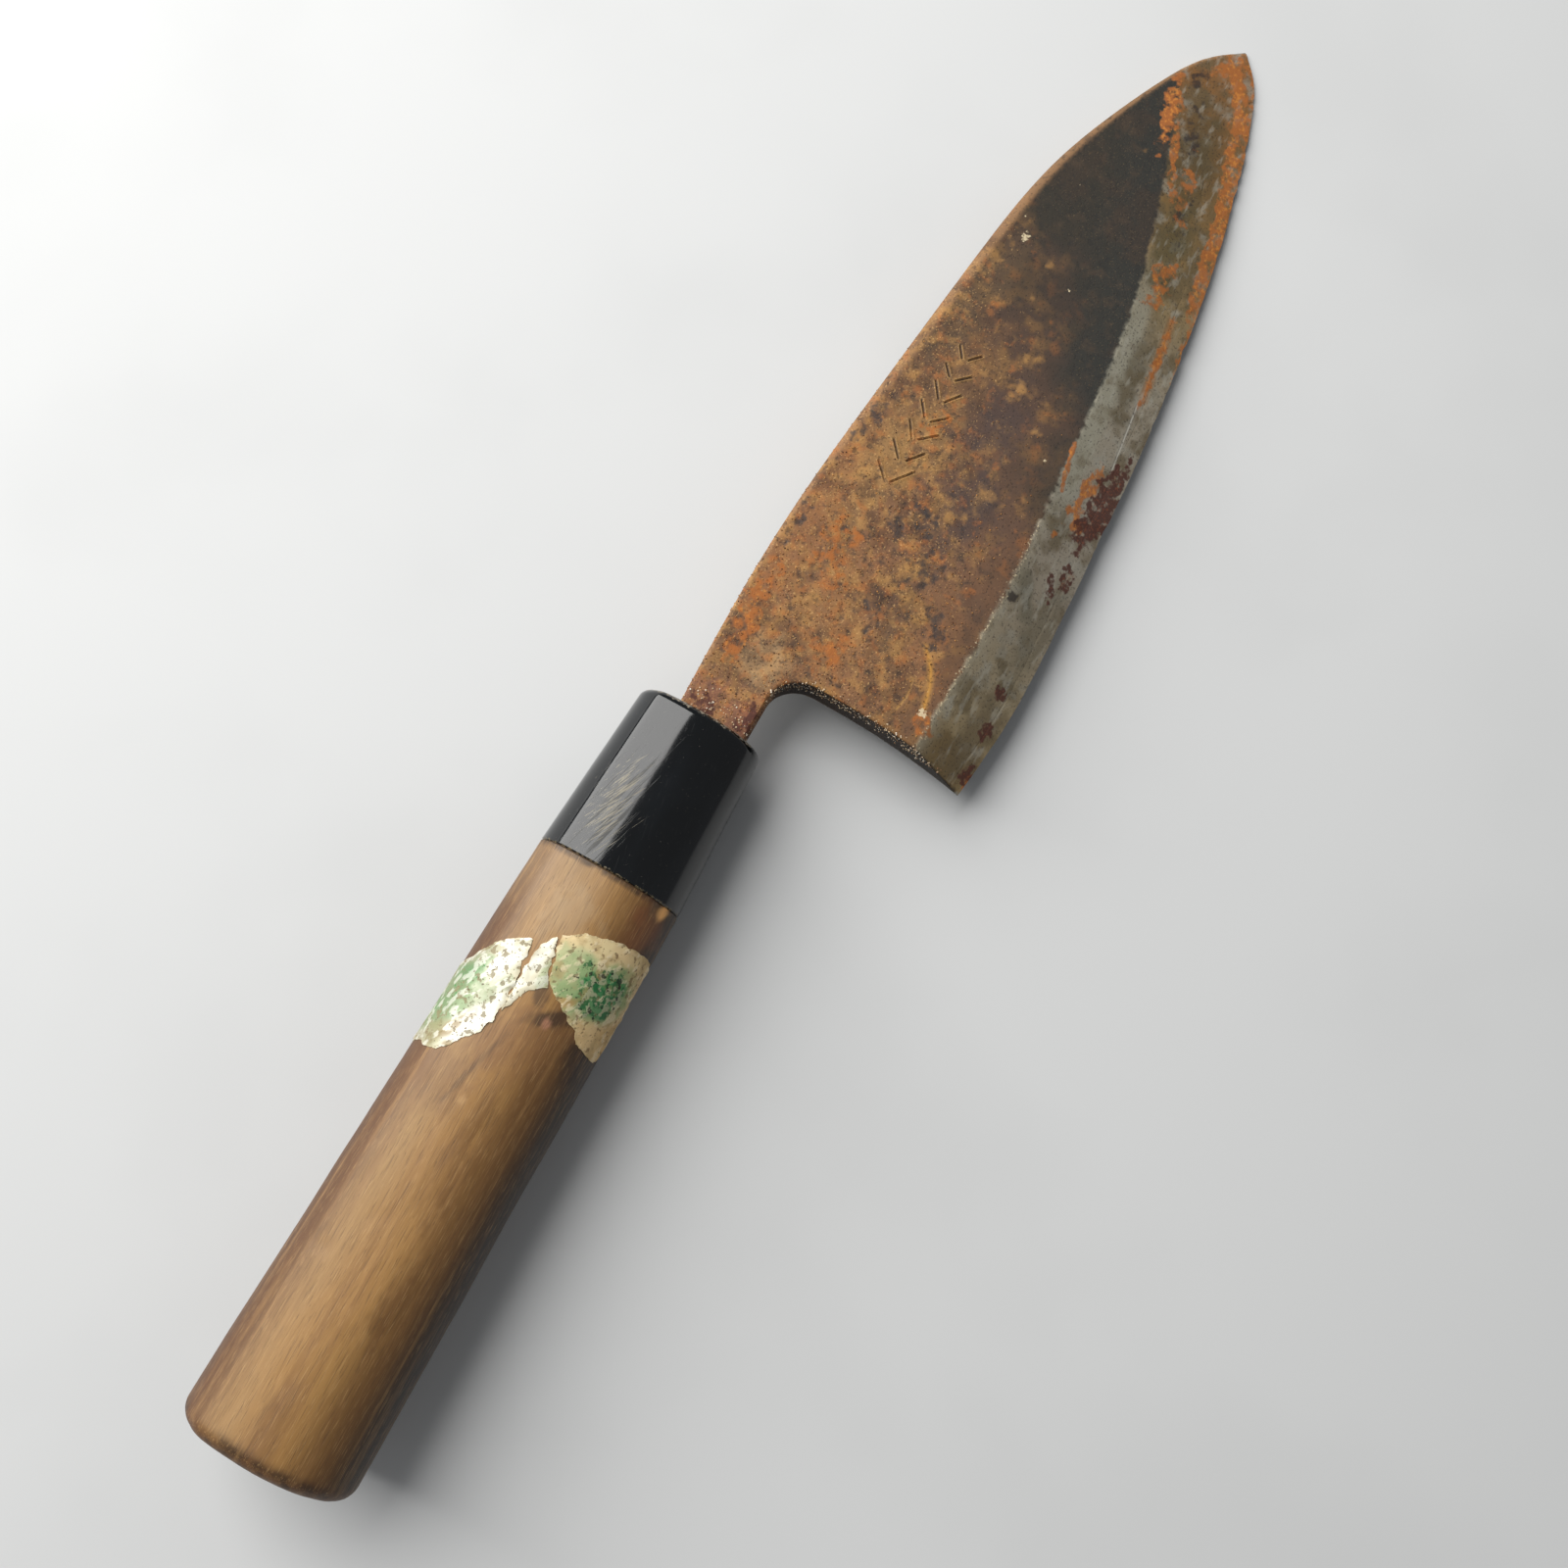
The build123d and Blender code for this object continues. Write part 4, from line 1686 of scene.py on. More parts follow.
def run_tree(tree: NodeTree, source: Mesh, values: dict[str, object], name: str) -> Mesh:
    """Runs geometry nodes on a mesh and keeps the result as a plain mesh.

    Args:
        tree: the nodes.
        source: mesh that goes in.
        values: the tree's other inputs by name.
        name: of the new mesh.

    Returns:
        The result.
    """
    holder = add_object(name + "_source", source)
    modifier = holder.modifiers.new("nodes", "NODES")
    modifier.node_group = tree
    for item in tree.interface.items_tree:
        if item.in_out == "INPUT" and item.name in values:
            modifier[item.identifier] = values[item.name]
    evaluated = holder.evaluated_get(bpy.context.evaluated_depsgraph_get())
    mesh = bpy.data.meshes.new_from_object(evaluated)
    mesh.name = name
    holder.modifiers.remove(modifier)
    bpy.data.objects.remove(holder)
    return mesh


@dataclass(frozen=True)
class Crumbs:
    """One kind of loose grains.

    Args:
        name: of the piece.
        region: mesh attribute that says where they lie.
        per_square_mm: how many lie on a square millimetre where the region is 1.
        small: radius of the smallest.
        large: radius of the largest.
        seed: fixes their places.
        finish: their material.
    """

    name: str
    region: str
    per_square_mm: float
    small: float
    large: float
    seed: int
    finish: Finish


@dataclass
class Grit:
    """Loose grains of rust and mineral dust on the blade's upper side.

    Args:
        knife: places in the frame.
    """

    knife: KnifeFrame

    @staticmethod
    def _tree() -> NodeTree:
        """Builds the geometry nodes that scatter grains over a surface.

        Returns:
            A tree whose geometry input is the surface.
        """
        tree, given = start_tree(
            "scatter_grains",
            {
                "Surface": "Geometry", "Grain": "Object", "Region": "String", "Density": "Float",
                "Small": "Float", "Large": "Float", "Seed": "Int", "Material": "Material",
            },
            "Grains",
        )
        region = add_node(
            tree, "GeometryNodeInputNamedAttribute", {"data_type": "FLOAT"}, {"Name": given["Region"]},
        )
        density = maths(tree, "MULTIPLY", region.outputs["Attribute"], given["Density"])
        places = add_node(
            tree, "GeometryNodeDistributePointsOnFaces", None,
            {"Mesh": given["Surface"], "Density": density, "Seed": given["Seed"]},
        )
        size = add_node(
            tree, "FunctionNodeRandomValue", {"data_type": "FLOAT"},
            {2: given["Small"], 3: given["Large"], "Seed": given["Seed"]},
        )
        turn = add_node(
            tree, "FunctionNodeRandomValue", {"data_type": "FLOAT_VECTOR"},
            {1: (2 * math.pi,) * 3, "Seed": given["Seed"]},
        )
        grain = add_node(tree, "GeometryNodeObjectInfo", None, {"Object": given["Grain"]})
        spread = add_node(
            tree, "GeometryNodeInstanceOnPoints", None,
            {
                "Points": places.outputs["Points"], "Instance": grain.outputs["Geometry"],
                "Rotation": turn.outputs[0], "Scale": size.outputs[1],
            },
        )
        end_tree(tree, spread.outputs[0], given["Material"])
        return tree

    @staticmethod
    def _grain() -> Object:
        """Makes one small uneven lump of radius 1.

        Returns:
            The lump as an object.
        """
        shape = bmesh.new()
        bmesh.ops.create_icosphere(shape, subdivisions=1, radius=1.0)
        for vertex in shape.verts:
            vertex.co *= 1 + 0.35 * noise.noise(vertex.co * 1.7)
        mesh = bpy.data.meshes.new("grain")
        shape.to_mesh(mesh)
        shape.free()
        return add_object("grain", mesh)

    def build(self, surface: Object) -> None:
        """Scatters every kind of crumbs.

        Args:
            surface: piece whose mesh holds the regions.
        """
        tree = self._tree()
        grain = self._grain()
        for crumbs in CRUMBS:
            material = crumbs.finish.material(self.knife)
            values = {
                "Grain": grain, "Region": crumbs.region, "Density": crumbs.per_square_mm * MM_PER_M**2,
                "Small": crumbs.small / MM_PER_M, "Large": crumbs.large / MM_PER_M, "Seed": crumbs.seed,
                "Material": material,
            }
            mesh = run_tree(tree, surface.data.copy(), values, crumbs.name)
            for name in SKIN_ATTRIBUTES:
                if name in mesh.attributes:
                    mesh.attributes.remove(mesh.attributes[name])
            place_piece(crumbs.name, mesh, material, has_node=False)
        bpy.data.objects.remove(grain)


CRUMBS = (
    Crumbs("rust_crumbs", "grain", 1.1, 0.05, 0.17, 5, RUST_CRUMBS),
    Crumbs("pale_crumbs", "pale_grain", 3.0, 0.05, 0.19, 9, PALE_CRUMBS),
)
MARK_REGIONS = ("orange", "red", "black", "pale")
SKIN_ATTRIBUTES = ("paint", "grain", "pale_grain", "crust", "bare", "smooth", "bevel", *MARK_REGIONS)


@dataclass
class Handle:
    """Ferrule, resin seal and wooden grip.

    Args:
        knife: places in the frame.
        shape: sizes that the pieces share.
    """

    knife: KnifeFrame
    shape: HandleShape
    tenon_wall: float = 3.0
    ferrule_cap: float = 5.0
    tenon_gap: float = 0.05
    tenon_end_gap: float = 0.3
    tang_gap: float = 0.25
    tang_end_gap: float = 2.0
    seal_gap: float = 0.7
    seal_recess: float = 0.3
    seal_depth: float = 3.0
    mouth_rounding: float = 1.4
    butt_rounding: float = 2.6
    end_clear: float = 0.001
    seam_bevel: float = 0.22
    ring_step: float = 0.5
    merge: float = 0.004
    # Inside these half widths and half heights lie tenon, slot and socket.
    ferrule_core: Point = (9.6, 7.6)
    grip_core: Point = (8.6, 6.6)

    def _spread(self, rings: Sequence[Ring]) -> list[Ring]:
        """Adds rings between rings that are far apart.

        Args:
            rings: in order.

        Returns:
            Rings no further apart than the ring step.
        """
        spread = [rings[0]]
        for before, after in zip(rings[:-1], rings[1:]):
            first, last = np.array(before.row()), np.array(after.row())
            gap = max(abs(last[0] - first[0]), np.abs(last[1:3] - first[1:3]).max() / 2)
            hidden = before.chestnut < 1 and after.chestnut < 1
            count = max(1, math.ceil(gap / (self.ring_step * (8 if hidden else 1))))
            for i in range(1, count + 1):
                spread.append(Ring(*(first + (last - first) * i / count)))
        return spread

    def _skin(self, name: str, rings: Sequence[Ring], material: Material) -> Mesh:
        """Stretches a closed skin over rings.

        Args:
            name: of the mesh.
            rings: in order round the piece's profile.
            material: its finish.

        Returns:
            A closed mesh in the knife's own millimetres.
        """
        dense = self._spread(rings)
        rows = np.array([ring.row() for ring in dense])
        profile = bpy.data.meshes.new(name + "_profile")
        profile.from_pydata([tuple(r) for r in rows[:, :3]], [], [])
        layer = profile.attributes.new("shape", "FLOAT_VECTOR", "POINT")
        layer.data.foreach_set("vector", rows[:, 3:].astype(np.float32).ravel())
        outline = bpy.data.meshes.new("chestnut_section")
        outline.from_pydata([(0.0, y, z) for y, z in self.shape.section], [], [])
        section = add_object("chestnut_section", outline)
        values = {
            "Section": section, "Ring Count": len(dense), "Around": self.shape.around,
            "Merge": self.merge, "Material": material,
        }
        mesh = run_tree(ring_skin_tree(), profile, values, name)
        bpy.data.objects.remove(section)
        return mesh

    def _place(
        self, name: str, slot: str, material: Material, mesh: Mesh, points: Array,
        paint: Array | None = None, regions: dict[str, Array] | None = None,
    ) -> None:
        """Gives a skin its final points, colours and place.

        Args:
            name: of the piece and its CAD node.
            slot: not used.
            material: its finish.
            mesh: the skin.
            points: in the knife's own frame.
            paint: colour of each point.
            regions: shares of each point by name.
        """
        move_points(mesh, self.knife.metres(points))
        close_skin(mesh)
        store(mesh, paint, regions or {})
        place_piece(name, mesh, material)

    @staticmethod
    def _outwards(points: Array, core: Point) -> tuple[Array, Array]:
        """Tells where the outer skin is.

        Args:
            points: of a skin.
            core: half width and half height inside which no point is on the outside.

        Returns:
            Directions away from the handle axis, and True for each point beyond the core.
        """
        radial = points * (0, 1, 1)
        radial /= np.maximum(np.linalg.norm(radial, axis=1), 1e-6)[:, None]
        return radial, np.hypot(points[:, 1] / core[0], points[:, 2] / core[1]) > 1

    def ferrule(self) -> None:
        """Makes the glossy black ferrule with its slot and socket."""
        shape = self.shape
        seam = -shape.ferrule_length
        bevel, round_off = self.seam_bevel, self.mouth_rounding
        rings = [shape.body_ring(seam, bevel), shape.body_ring(seam + bevel)]
        for turn in np.linspace(0, math.pi / 2, 9):
            station = -round_off + round_off * math.sin(turn)
            rings.append(shape.body_ring(station, round_off * (1 - math.cos(turn))))
        cap = -self.ferrule_cap
        socket = [size - 2 * self.tenon_wall for size in shape.mouth]
        rings += [
            shape.tang_ring(0.0, self.seal_gap), shape.tang_ring(cap, self.seal_gap),
            Ring(cap, *socket), Ring(seam, *socket), shape.body_ring(seam, bevel),
        ]
        material = BLACK_FERRULE.material(self.knife)
        mesh = self._skin("ferrule", rings, material)
        points = points_of(mesh)
        radial, outside = self._outwards(points, self.ferrule_core)
        wave = 0.035 * cloud(points, 9.0, 2, 71)
        rim = ramp(-1.9, -0.2, points[:, 0])
        wave -= 0.09 * rim * np.clip(cloud(points, 1.6, 3, 72), 0, 1)
        points = points + radial * (wave * outside)[:, None]
        regions = {
            "rim": rim * outside, "seam": ramp(seam + 1.0, seam + 0.1, points[:, 0]) * outside,
            "worn": bell(points[:, 0], -19.5, 11) * bell(points[:, 1], 4.4, 4) * (points[:, 2] > 0),
        }
        self._place("ferrule", "ferrule_black", material, mesh, points, None, regions)

    def seal(self) -> None:
        """Makes the ring of resin between tang and ferrule."""
        shape = self.shape
        top, base = -self.seal_recess, -self.seal_recess - self.seal_depth
        inner, outer = 0.01, self.seal_gap - 0.01
        corners = ((top, inner), (top, outer), (base, outer), (base, inner), (top, inner))
        rings = [shape.tang_ring(station, gap) for station, gap in corners]
        material = SEAL_RESIN.material(self.knife)
        mesh = self._skin("tang_seal", rings, material)
        points = points_of(mesh)
        front = ramp(base, top, points[:, 0])
        points[:, 0] -= 0.16 * front * (0.5 + cloud(points, 1.4, 3, 75)).clip(0, 1)
        self._place("tang_seal", "seal_resin", material, mesh, points)

    def grip(self) -> None:
        """Makes the wooden grip with its tenon and the slot for the tang."""
        shape = self.shape
        butt, seam = self.end_clear - shape.handle_length, -shape.ferrule_length
        rounding = self.butt_rounding
        rings = [Ring(butt, 0.0, 0.0, 1.0, 1.0)]
        for turn in np.linspace(0, math.pi / 2, 10):
            station = butt + rounding * (1 - math.sin(turn))
            rings.append(shape.body_ring(station, rounding * (1 - math.cos(turn))))
        rings.sort(key=lambda ring: (ring.station, ring.width))
        tenon = [size - 2 * self.tenon_wall - 2 * self.tenon_gap for size in shape.mouth]
        tenon_end = -self.ferrule_cap - self.tenon_end_gap
        slot_end = -shape.blade.tang_length - self.tang_end_gap
        last = shape.tang_ring(slot_end, self.tang_gap)
        rings += [
            shape.body_ring(seam - self.seam_bevel), shape.body_ring(seam, self.seam_bevel),
            Ring(seam, *tenon), Ring(tenon_end, *tenon), shape.tang_ring(tenon_end, self.tang_gap),
            last, Ring(slot_end, 0.0, 0.0, last.squareness, 0.0, last.y),
        ]
        material = HAND_WORN_WOOD.material(self.knife)
        mesh = self._skin("grip", rings, material)
        points = points_of(mesh)
        self._wear_grip(points, slot_end - 0.5)
        self._place("grip", "grip_wood", material, mesh, points, *self._paint_grip(points))

    def _wear_grip(self, points: Array, solid_from: float) -> None:
        """Gives the wood its uneven, dented skin, in place.

        Args:
            points: of the grip.
            solid_from: station behind which the wood has no slot.
        """
        radial, outside = self._outwards(points, self.grip_core)
        station = points[:, 0]
        outside |= station < solid_from
        label = ramp(-69, -66, station) * ramp(-33, -36, station)
        label *= ramp(-2.0, 1.0, points[:, 2])
        bare = 1 - label
        long = points / (6.0, 1.0, 1.0)
        wave = 0.09 * cloud(points, 17.0, 2, 81) + 0.035 * cloud(long, 1.6, 3, 82) - 0.05
        for place, y, size, depth in GRIP_DENTS:
            reach = np.hypot(station - place, points[:, 1] - y) / size
            wave -= depth * bell(reach, 0, 1) * (points[:, 2] > 0)
        butt = ramp(-122.4, -124.6, station)
        wave -= butt * 0.12 * np.clip(cloud(points, 3.0, 3, 83) + 0.3, 0, 1)
        points += radial * (wave * outside * bare)[:, None]

    def _paint_grip(self, points: Array) -> tuple[Array, dict[str, Array]]:
        """Colours of the wood, with painted shade on its edge side and underside and painted highlights
        on its top, and the regions that its finish uses.

        Args:
            points: of the grip.

        Returns:
            A linear colour for each point, and shares by region name.
        """
        station, y, z = points.T
        plan = points[:, :2]
        across = y / (self.shape.size_at(station)[0] / 2)
        paint = coat("#936c3a", len(points))
        long = points / (5.0, 1.0, 1.0)
        for mottle in WOOD_MOTTLES:
            mottle.lay(paint, long)
        lay_colour(paint, "#4f3019", 0.9 * ramp(0.42, 0.78, across))
        lay_colour(paint, "#4a2e18", 0.8 * ramp(0.8, 1.0, across))
        # Painted highlight: a lighter band on the top towards the spine side, where the window's sheen
        # falls.
        sheen = bell(across, 0.42, 0.2) * (z > 0)
        lay_colour(paint, "#94764c", 0.45 * sheen)
        # Painted shade: the wood darkens towards the edge side, and almost to black on the wall that
        # turns away from the window.
        lay_colour(paint, "#553617", 0.75 * ramp(-0.15, -0.7, across))
        lay_colour(paint, "#150d07", 0.92 * ramp(-0.6, -0.95, across))
        # Painted shade: darker towards the underside.
        lay_colour(paint, "#3a2615", 0.7 * ramp(2, -6, z))
        # Painted highlight: a pale greyish sheen on the top near the seam, towards the spine side.
        seam_sheen = ramp(-44, -32, station)
        lay_colour(paint, "#957a58", 0.4 * (z > 0) * seam_sheen * ramp(-0.5, 0.2, across))
        # A dark band of grime and shade in the groove just behind the seam.
        grime = ramp(-30.2, -29.3, station + 0.5 * cloud(points, 3.0, 3, 93))
        lay_colour(paint, "#2c1d12", 0.85 * grime)
        butt = ramp(-121.5, -124.2, station)
        lay_colour(paint, "#5b3a1f", 0.8 * butt)
        edge = bell(station, -123.2, 0.9)
        lay_colour(paint, "#22150c", 0.75 * edge * ramp(-0.3, 0.4, cloud(points, 5.0, 3, 94)))
        halo_paint = paint.copy()
        lay_stains(halo_paint, plan, GRIP_STAINS)
        upper = z > 0
        paint[upper] = halo_paint[upper]
        # The region for the dark patches holds grime at the seam and the butt, and painted shade on the
        # underside.
        regions = {
            "grime": np.clip(grime + butt + 0.5 * ramp(1, -6, z), 0, 1),
            "wood": ramp(-28.8, -29.2, station),
        }
        return paint, regions

    def build(self) -> None:
        """Makes the three pieces of the handle."""
        self.ferrule()
        self.seal()
        self.grip()


WOOD_MOTTLES = (
    Mottle("#98723d", 0.6, -0.2, 0.6, 6, 91, 4), Mottle("#6f4c26", 0.6, 0.1, 0.7, 3.6, 92, 4),
)

# Station, y, width and depth.
GRIP_DENTS = (
    (-72, -4, 2.2, 0.12), (-88, 3, 1.6, 0.1), (-101, -6.5, 1.8, 0.14), (-95, 7.5, 1.2, 0.1),
    (-112, 1, 2.4, 0.1), (-30, -9.6, 1.2, 0.35), (-33, 5, 1.4, 0.08),
)

GRIP_STAINS = (
    Stain(-57.5, -1.5, 16, 9, "#775231", -40, 0.55), Stain(-67.5, 5, 9, 9, "#75522f", -40, 0.5),
    Stain(-56, -10.6, 6, 5, "#2c1c10", 0, 0.75), Stain(-51.6, -5, 9, 2.6, "#2c1c10", -58, 0.8),
    Stain(-49.5, -0.9, 5, 2.4, "#3a2615", 20, 0.7), Stain(-63.5, 1.9, 12, 0.8, "#3a2616", -14, 0.5),
    Stain(-68.2, 0.9, 1.6, 1.1, "#b08a5a", 0, 0.6), Stain(-53.2, -3.9, 1.8, 1.2, "#a8765a", 0, 0.8),
    Stain(-80, -3, 14, 5, "#7a5630", 10, 0.35), Stain(-95, -2, 22, 5, "#a57c48", -4, 0.4),
    Stain(-108, 3, 18, 6, "#9c7440", -4, 0.4), Stain(-34, -9, 8, 5, "#7d4a2c", 0, 0.5),
    Stain(-29.9, -10.2, 2.6, 1.5, "#d09a5c", 0, 1), Stain(-38, 1, 10, 8, "#a38a68", 0, 0.45),
)

# Magnolia wood turned brown by years of wet hands: fine straight grain that runs with the handle,
# dull in its pores and a little satin where the palm has polished it.
HAND_WORN_WOOD = Finish(
    "hand_worn_magnolia_wood", "#7d5a37", 0.54, ior=1.5, painted=True,
    patches=(
        Patch("#6f4a29", 1.3, 0.48, 0.76, "wood", 0.4, 0.3, (60, 1, 1), 2, 5, roughness=0.55),
        Patch("#b08854", 0.9, 0.5, 0.76, "wood", 0.4, 0.28, (60, 1, 1), 0.5, 5, roughness=0.45),
        Patch("#4a321c", 0.16, 0.54, 0.66, "wood", 0.4, 0.4, (30, 1, 1), 2, relief=-0.015),
        Patch("#c09a66", 0.13, 0.56, 0.68, "wood", 0.4, 0.3, (24, 1, 1), 1, relief=0.01),
        Patch("#3b2716", 0.2, 0.68, 0.74, "wood", 0.4, 0.5, (8, 1, 1), 2, roughness=0.6),
        Patch("#2c1d11", 1.8, 0.52, 0.7, "grime", 0.5, 0.6, detail=5, roughness=0.6),
    ),
)

# Black horn-like plastic, moulded and polished: deep black with a wet gloss, dulled by hairline
# scratches and a pale worn rim.
BLACK_FERRULE = Finish(
    "polished_black_plastic", "#07090b", 0.09, ior=1.5,
    patches=(
        Patch("#0e1114", 6, 0.4, 0.7, "", 0, 0.8, (3, 1, 1), roughness=0.12),
        Patch("#2e2e2b", 0.3, 0.42, 0.52, "worn", 0.3, 0.95, (46, 1, 1), -14, 4, 0.5),
        Patch("#857e6c", 0.17, 0.48, 0.56, "worn", 0.3, 0.85, (36, 1, 1), -26, 3, 0.55),
        Patch("#232424", 0.14, 0.66, 0.72, "", 0, 0.6, (40, 1, 1), 12, 2, 0.35),
        Patch("#8a8070", 0.7, 0.4, 0.6, "rim", 0.7, 0.85, roughness=0.6),
        Patch("#6d6148", 0.5, 0.42, 0.58, "seam", 0.7, 0.8, roughness=0.6),
        Patch("#8f887a", 0.2, 0.72, 0.77, "", 0, 0.7, roughness=0.6, relief=0.01),
    ),
)

# Pitch-like resin poured round the tang, set with a dull uneven skin and rust dust in it.
SEAL_RESIN = Finish(
    "dull_brown_pitch_resin", "#2a1c13", 0.6, ior=1.54,
    patches=(
        Patch("#6b4428", 0.6, 0.45, 0.65, roughness=0.85, relief=0.04),
        Patch("#14100d", 0.9, 0.5, 0.7, roughness=0.5, relief=-0.03),
    ),
)


# ---- Torn label ----


@dataclass(frozen=True)
class Scrap:
    """One scrap of the torn label.

    Args:
        name: of the piece and its CAD node.
        slot: the record's slot.
        base: sRGB hex of the scrap under its stains.
        outline: corners as station and y on the upper side; past the side, y counts down the wall.
        stains: colours on it.
    """

    name: str
    slot: str
    base: str
    outline: tuple[Point, ...]
    stains: tuple[Stain, ...]


@dataclass
class Label:
    """The scraps of foil and paper that are left of the label.

    Args:
        knife: places in the frame.
        shape: the handle that they lie on.
    """

    knife: KnifeFrame
    shape: HandleShape
    thickness: float = 0.14
    sunk: float = 0.02
    spacing: float = 0.35
    middle_station: float = -50.0
    tear: float = 0.42
    curl: float = 0.3
    wrinkle: float = 0.05
    merge: float = 1e-7

    def _torn(self, outline: Sequence[Point], layer: int) -> Array:
        """Turns a plain outline into a torn one.

        Args:
            outline: corners.
            layer: gives each scrap its own tear.

        Returns:
            Points along the torn border.
        """
        corners = [*outline, outline[0]]
        line = curve_through(corners, 0.3)[:-1]
        ragged = np.column_stack([cloud(line, 1.5, 4, 100 + layer), cloud(line, 1.5, 4, 110 + layer)])
        return line + self.tear * ragged

    def scrap(self, scrap: Scrap, layer: int, material: Material) -> None:
        """Makes one scrap that follows the handle.

        Args:
            scrap: what to make.
            layer: gives it its own tear and wrinkles.
            material: its finish.
        """
        outline = self._torn(scrap.outline, layer)
        loop = np.vstack([outline, outline[:1]])

        def lift(plan: Array) -> Array:
            """How far the scrap stands off the wood."""
            border = ramp(1.3, 0.0, away_from(plan, loop))
            return self.curl * border * np.clip(cloud(plan, 3.2, 2, 120 + layer), 0, 1)

        def upper(plan: Array) -> Array:
            """Upper face: wrinkled, thinner towards its torn border.

            Args:
                plan: places on the label.

            Returns:
                Heights above the wood.
            """
            wrinkle = self.wrinkle * np.abs(cloud(plan, 1.7, 4, 130 + layer))
            thin = 1 - 0.45 * ramp(0.6, 0.0, away_from(plan, loop))
            return lift(plan) + self.thickness * thin + wrinkle

        def lower(plan: Array) -> Array:
            """Lower face on the wood."""
            return lift(plan) - self.sunk

        slab = Slab(outline, upper, lower, self.spacing, 0.9, walls=1)
        points, faces = slab.build()
        plan, height = points[:, :2], points[:, 2]
        share = self.shape.girth(plan[:, 1], self.middle_station)
        spot = self.shape.surface(plan[:, 0], share)
        ahead = self.shape.surface(plan[:, 0], share + 0.002) - spot
        normal = np.column_stack([np.zeros(len(spot)), -ahead[:, 2], ahead[:, 1]])
        normal /= -np.linalg.norm(normal, axis=1)[:, None]
        outward = np.sign((normal * spot)[:, 1:].sum(axis=1))[:, None]
        spot = spot + normal * outward * height[:, None]
        mesh = mesh_from(scrap.name, self.knife.metres(spot), faces, self.merge)
        paint = coat(scrap.base, len(points))
        lay_stains(paint, plan, scrap.stains)
        gap = away_from(plan, loop)
        lay_colour(paint, "#b3a27c", 0.4 * ramp(0.35, 0.05, gap))
        green = np.clip(8 * (paint[:, 1] - paint[:, 0]), 0, 1)
        store(mesh, paint, {"green": green})
        place_piece(scrap.name, mesh, material)

    def build(self) -> None:
        """Makes all scraps."""
        foil = TORN_FOIL.material(self.knife)
        paper = TORN_PAPER.material(self.knife)
        for layer, scrap in enumerate(SCRAPS):
            self.scrap(scrap, layer, foil if scrap.slot == "label_foil" else paper)


SCRAPS = (
    Scrap(
        "label_spine_side", "label_foil", "#a9a48c",
        (
            (-64.8, 15), (-64.4, 11), (-63.8, 8), (-61.2, 5.9), (-57.4, 3.3), (-53, 2.9), (-48.6, 3.2),
            (-45, 3.9), (-43.4, 4.2), (-44.2, 6.2), (-46.9, 9.2), (-50.7, 12.2), (-52.4, 15.5),
            (-58, 16.4),
        ),
        (
            Stain(-56, 12.8, 18, 6.5, "#75845c", -38, 0.8),
            Stain(-57, 9.6, 14, 5, "#6d8a5c", -38, 0.75), Stain(-51, 8.6, 8, 3.4, "#5a8554", -50, 0.7),
            Stain(-62.5, 8.4, 5, 6, "#8d8a60", 0, 0.8), Stain(-57.5, 4.8, 13, 4, "#d9d6c6", -30, 0.95),
            Stain(-48.4, 5.6, 11, 3.4, "#cfcab6", -20, 0.9),
            Stain(-59.5, 7.4, 8, 1.6, "#7a6238", -28, 0.7), Stain(-63.4, 6.6, 3, 2, "#8a7046", 0, 0.7),
        ),
    ),
    Scrap(
        "label_middle", "label_foil", "#d2ccb2",
        (
            (-54.6, 2.5), (-52.2, 1.7), (-49.8, 0.4), (-48.4, -1.3), (-46.4, -0.4), (-43.6, 0.3),
            (-41.4, 1.2), (-43.2, 2.5), (-46.2, 3.1), (-50.8, 3),
        ),
        (
            Stain(-45.4, 1.9, 9, 2.4, "#e4e0cc", -8, 0.85), Stain(-52, 2.3, 6, 1.6, "#d6cfb6", 0, 0.7),
            Stain(-47.4, -0.3, 5, 1.8, "#9dae80", 10, 0.7),
        ),
    ),
    Scrap(
        "label_edge_side", "label_paper", "#d0b588",
        (
            (-40.7, 0.7), (-38.8, -2.6), (-37.4, -7.4), (-37, -10.6), (-37.8, -13.4), (-45, -14.4),
            (-52.6, -14.4), (-54.6, -12), (-53.4, -9.4), (-51.4, -7), (-49.6, -4.2), (-48.2, -1.8),
            (-46.2, -0.7), (-43.4, 0),
        ),
        (
            Stain(-43, -3, 12, 7, "#b3b98a", -20, 0.9), Stain(-45.6, -6.6, 14, 9, "#86a16c", -40, 0.9),
            Stain(-44, -8.4, 8, 5, "#2c8048", -35, 0.9), Stain(-46.8, -9.8, 7, 4, "#467c50", -35, 0.8),
            Stain(-39.2, -4.6, 4.4, 12, "#e0c897", 0, 0.8),
            Stain(-38.4, -10.5, 4, 7, "#dcc08e", 0, 0.8), Stain(-52.5, -10, 6, 5, "#d8b884", 0, 0.85),
            Stain(-50.6, -13, 7, 4, "#c29c62", 0, 0.7), Stain(-49.6, -3.6, 7, 1.6, "#b08a55", -60, 0.8),
        ),
    ),
)

# Printed metal foil on paper, torn and rubbed: bright where the foil is left, flat where the print
# or bare paper shows.
TORN_FOIL = Finish(
    "torn_printed_foil", "#a9a48c", 0.45, 0.2, painted=True,
    patches=(
        Patch("#35803f", 0.8, 0.5, 0.56, "green", 0.3, 0.85, detail=8, roughness=0.6, metal=0),
        Patch("#d9d8ca", 1.4, 0.5, 0.58, "", 0, 0.55, (2, 1, 1), -35, 8, 0.35),
        Patch("#7c6c48", 1.2, 0.57, 0.62, "", 0, 0.7, detail=8, roughness=0.7, metal=0, relief=-0.03),
        Patch("#5f4a2e", 0.4, 0.62, 0.68, "", 0, 0.75, roughness=0.8, metal=0, relief=-0.04),
    ),
)

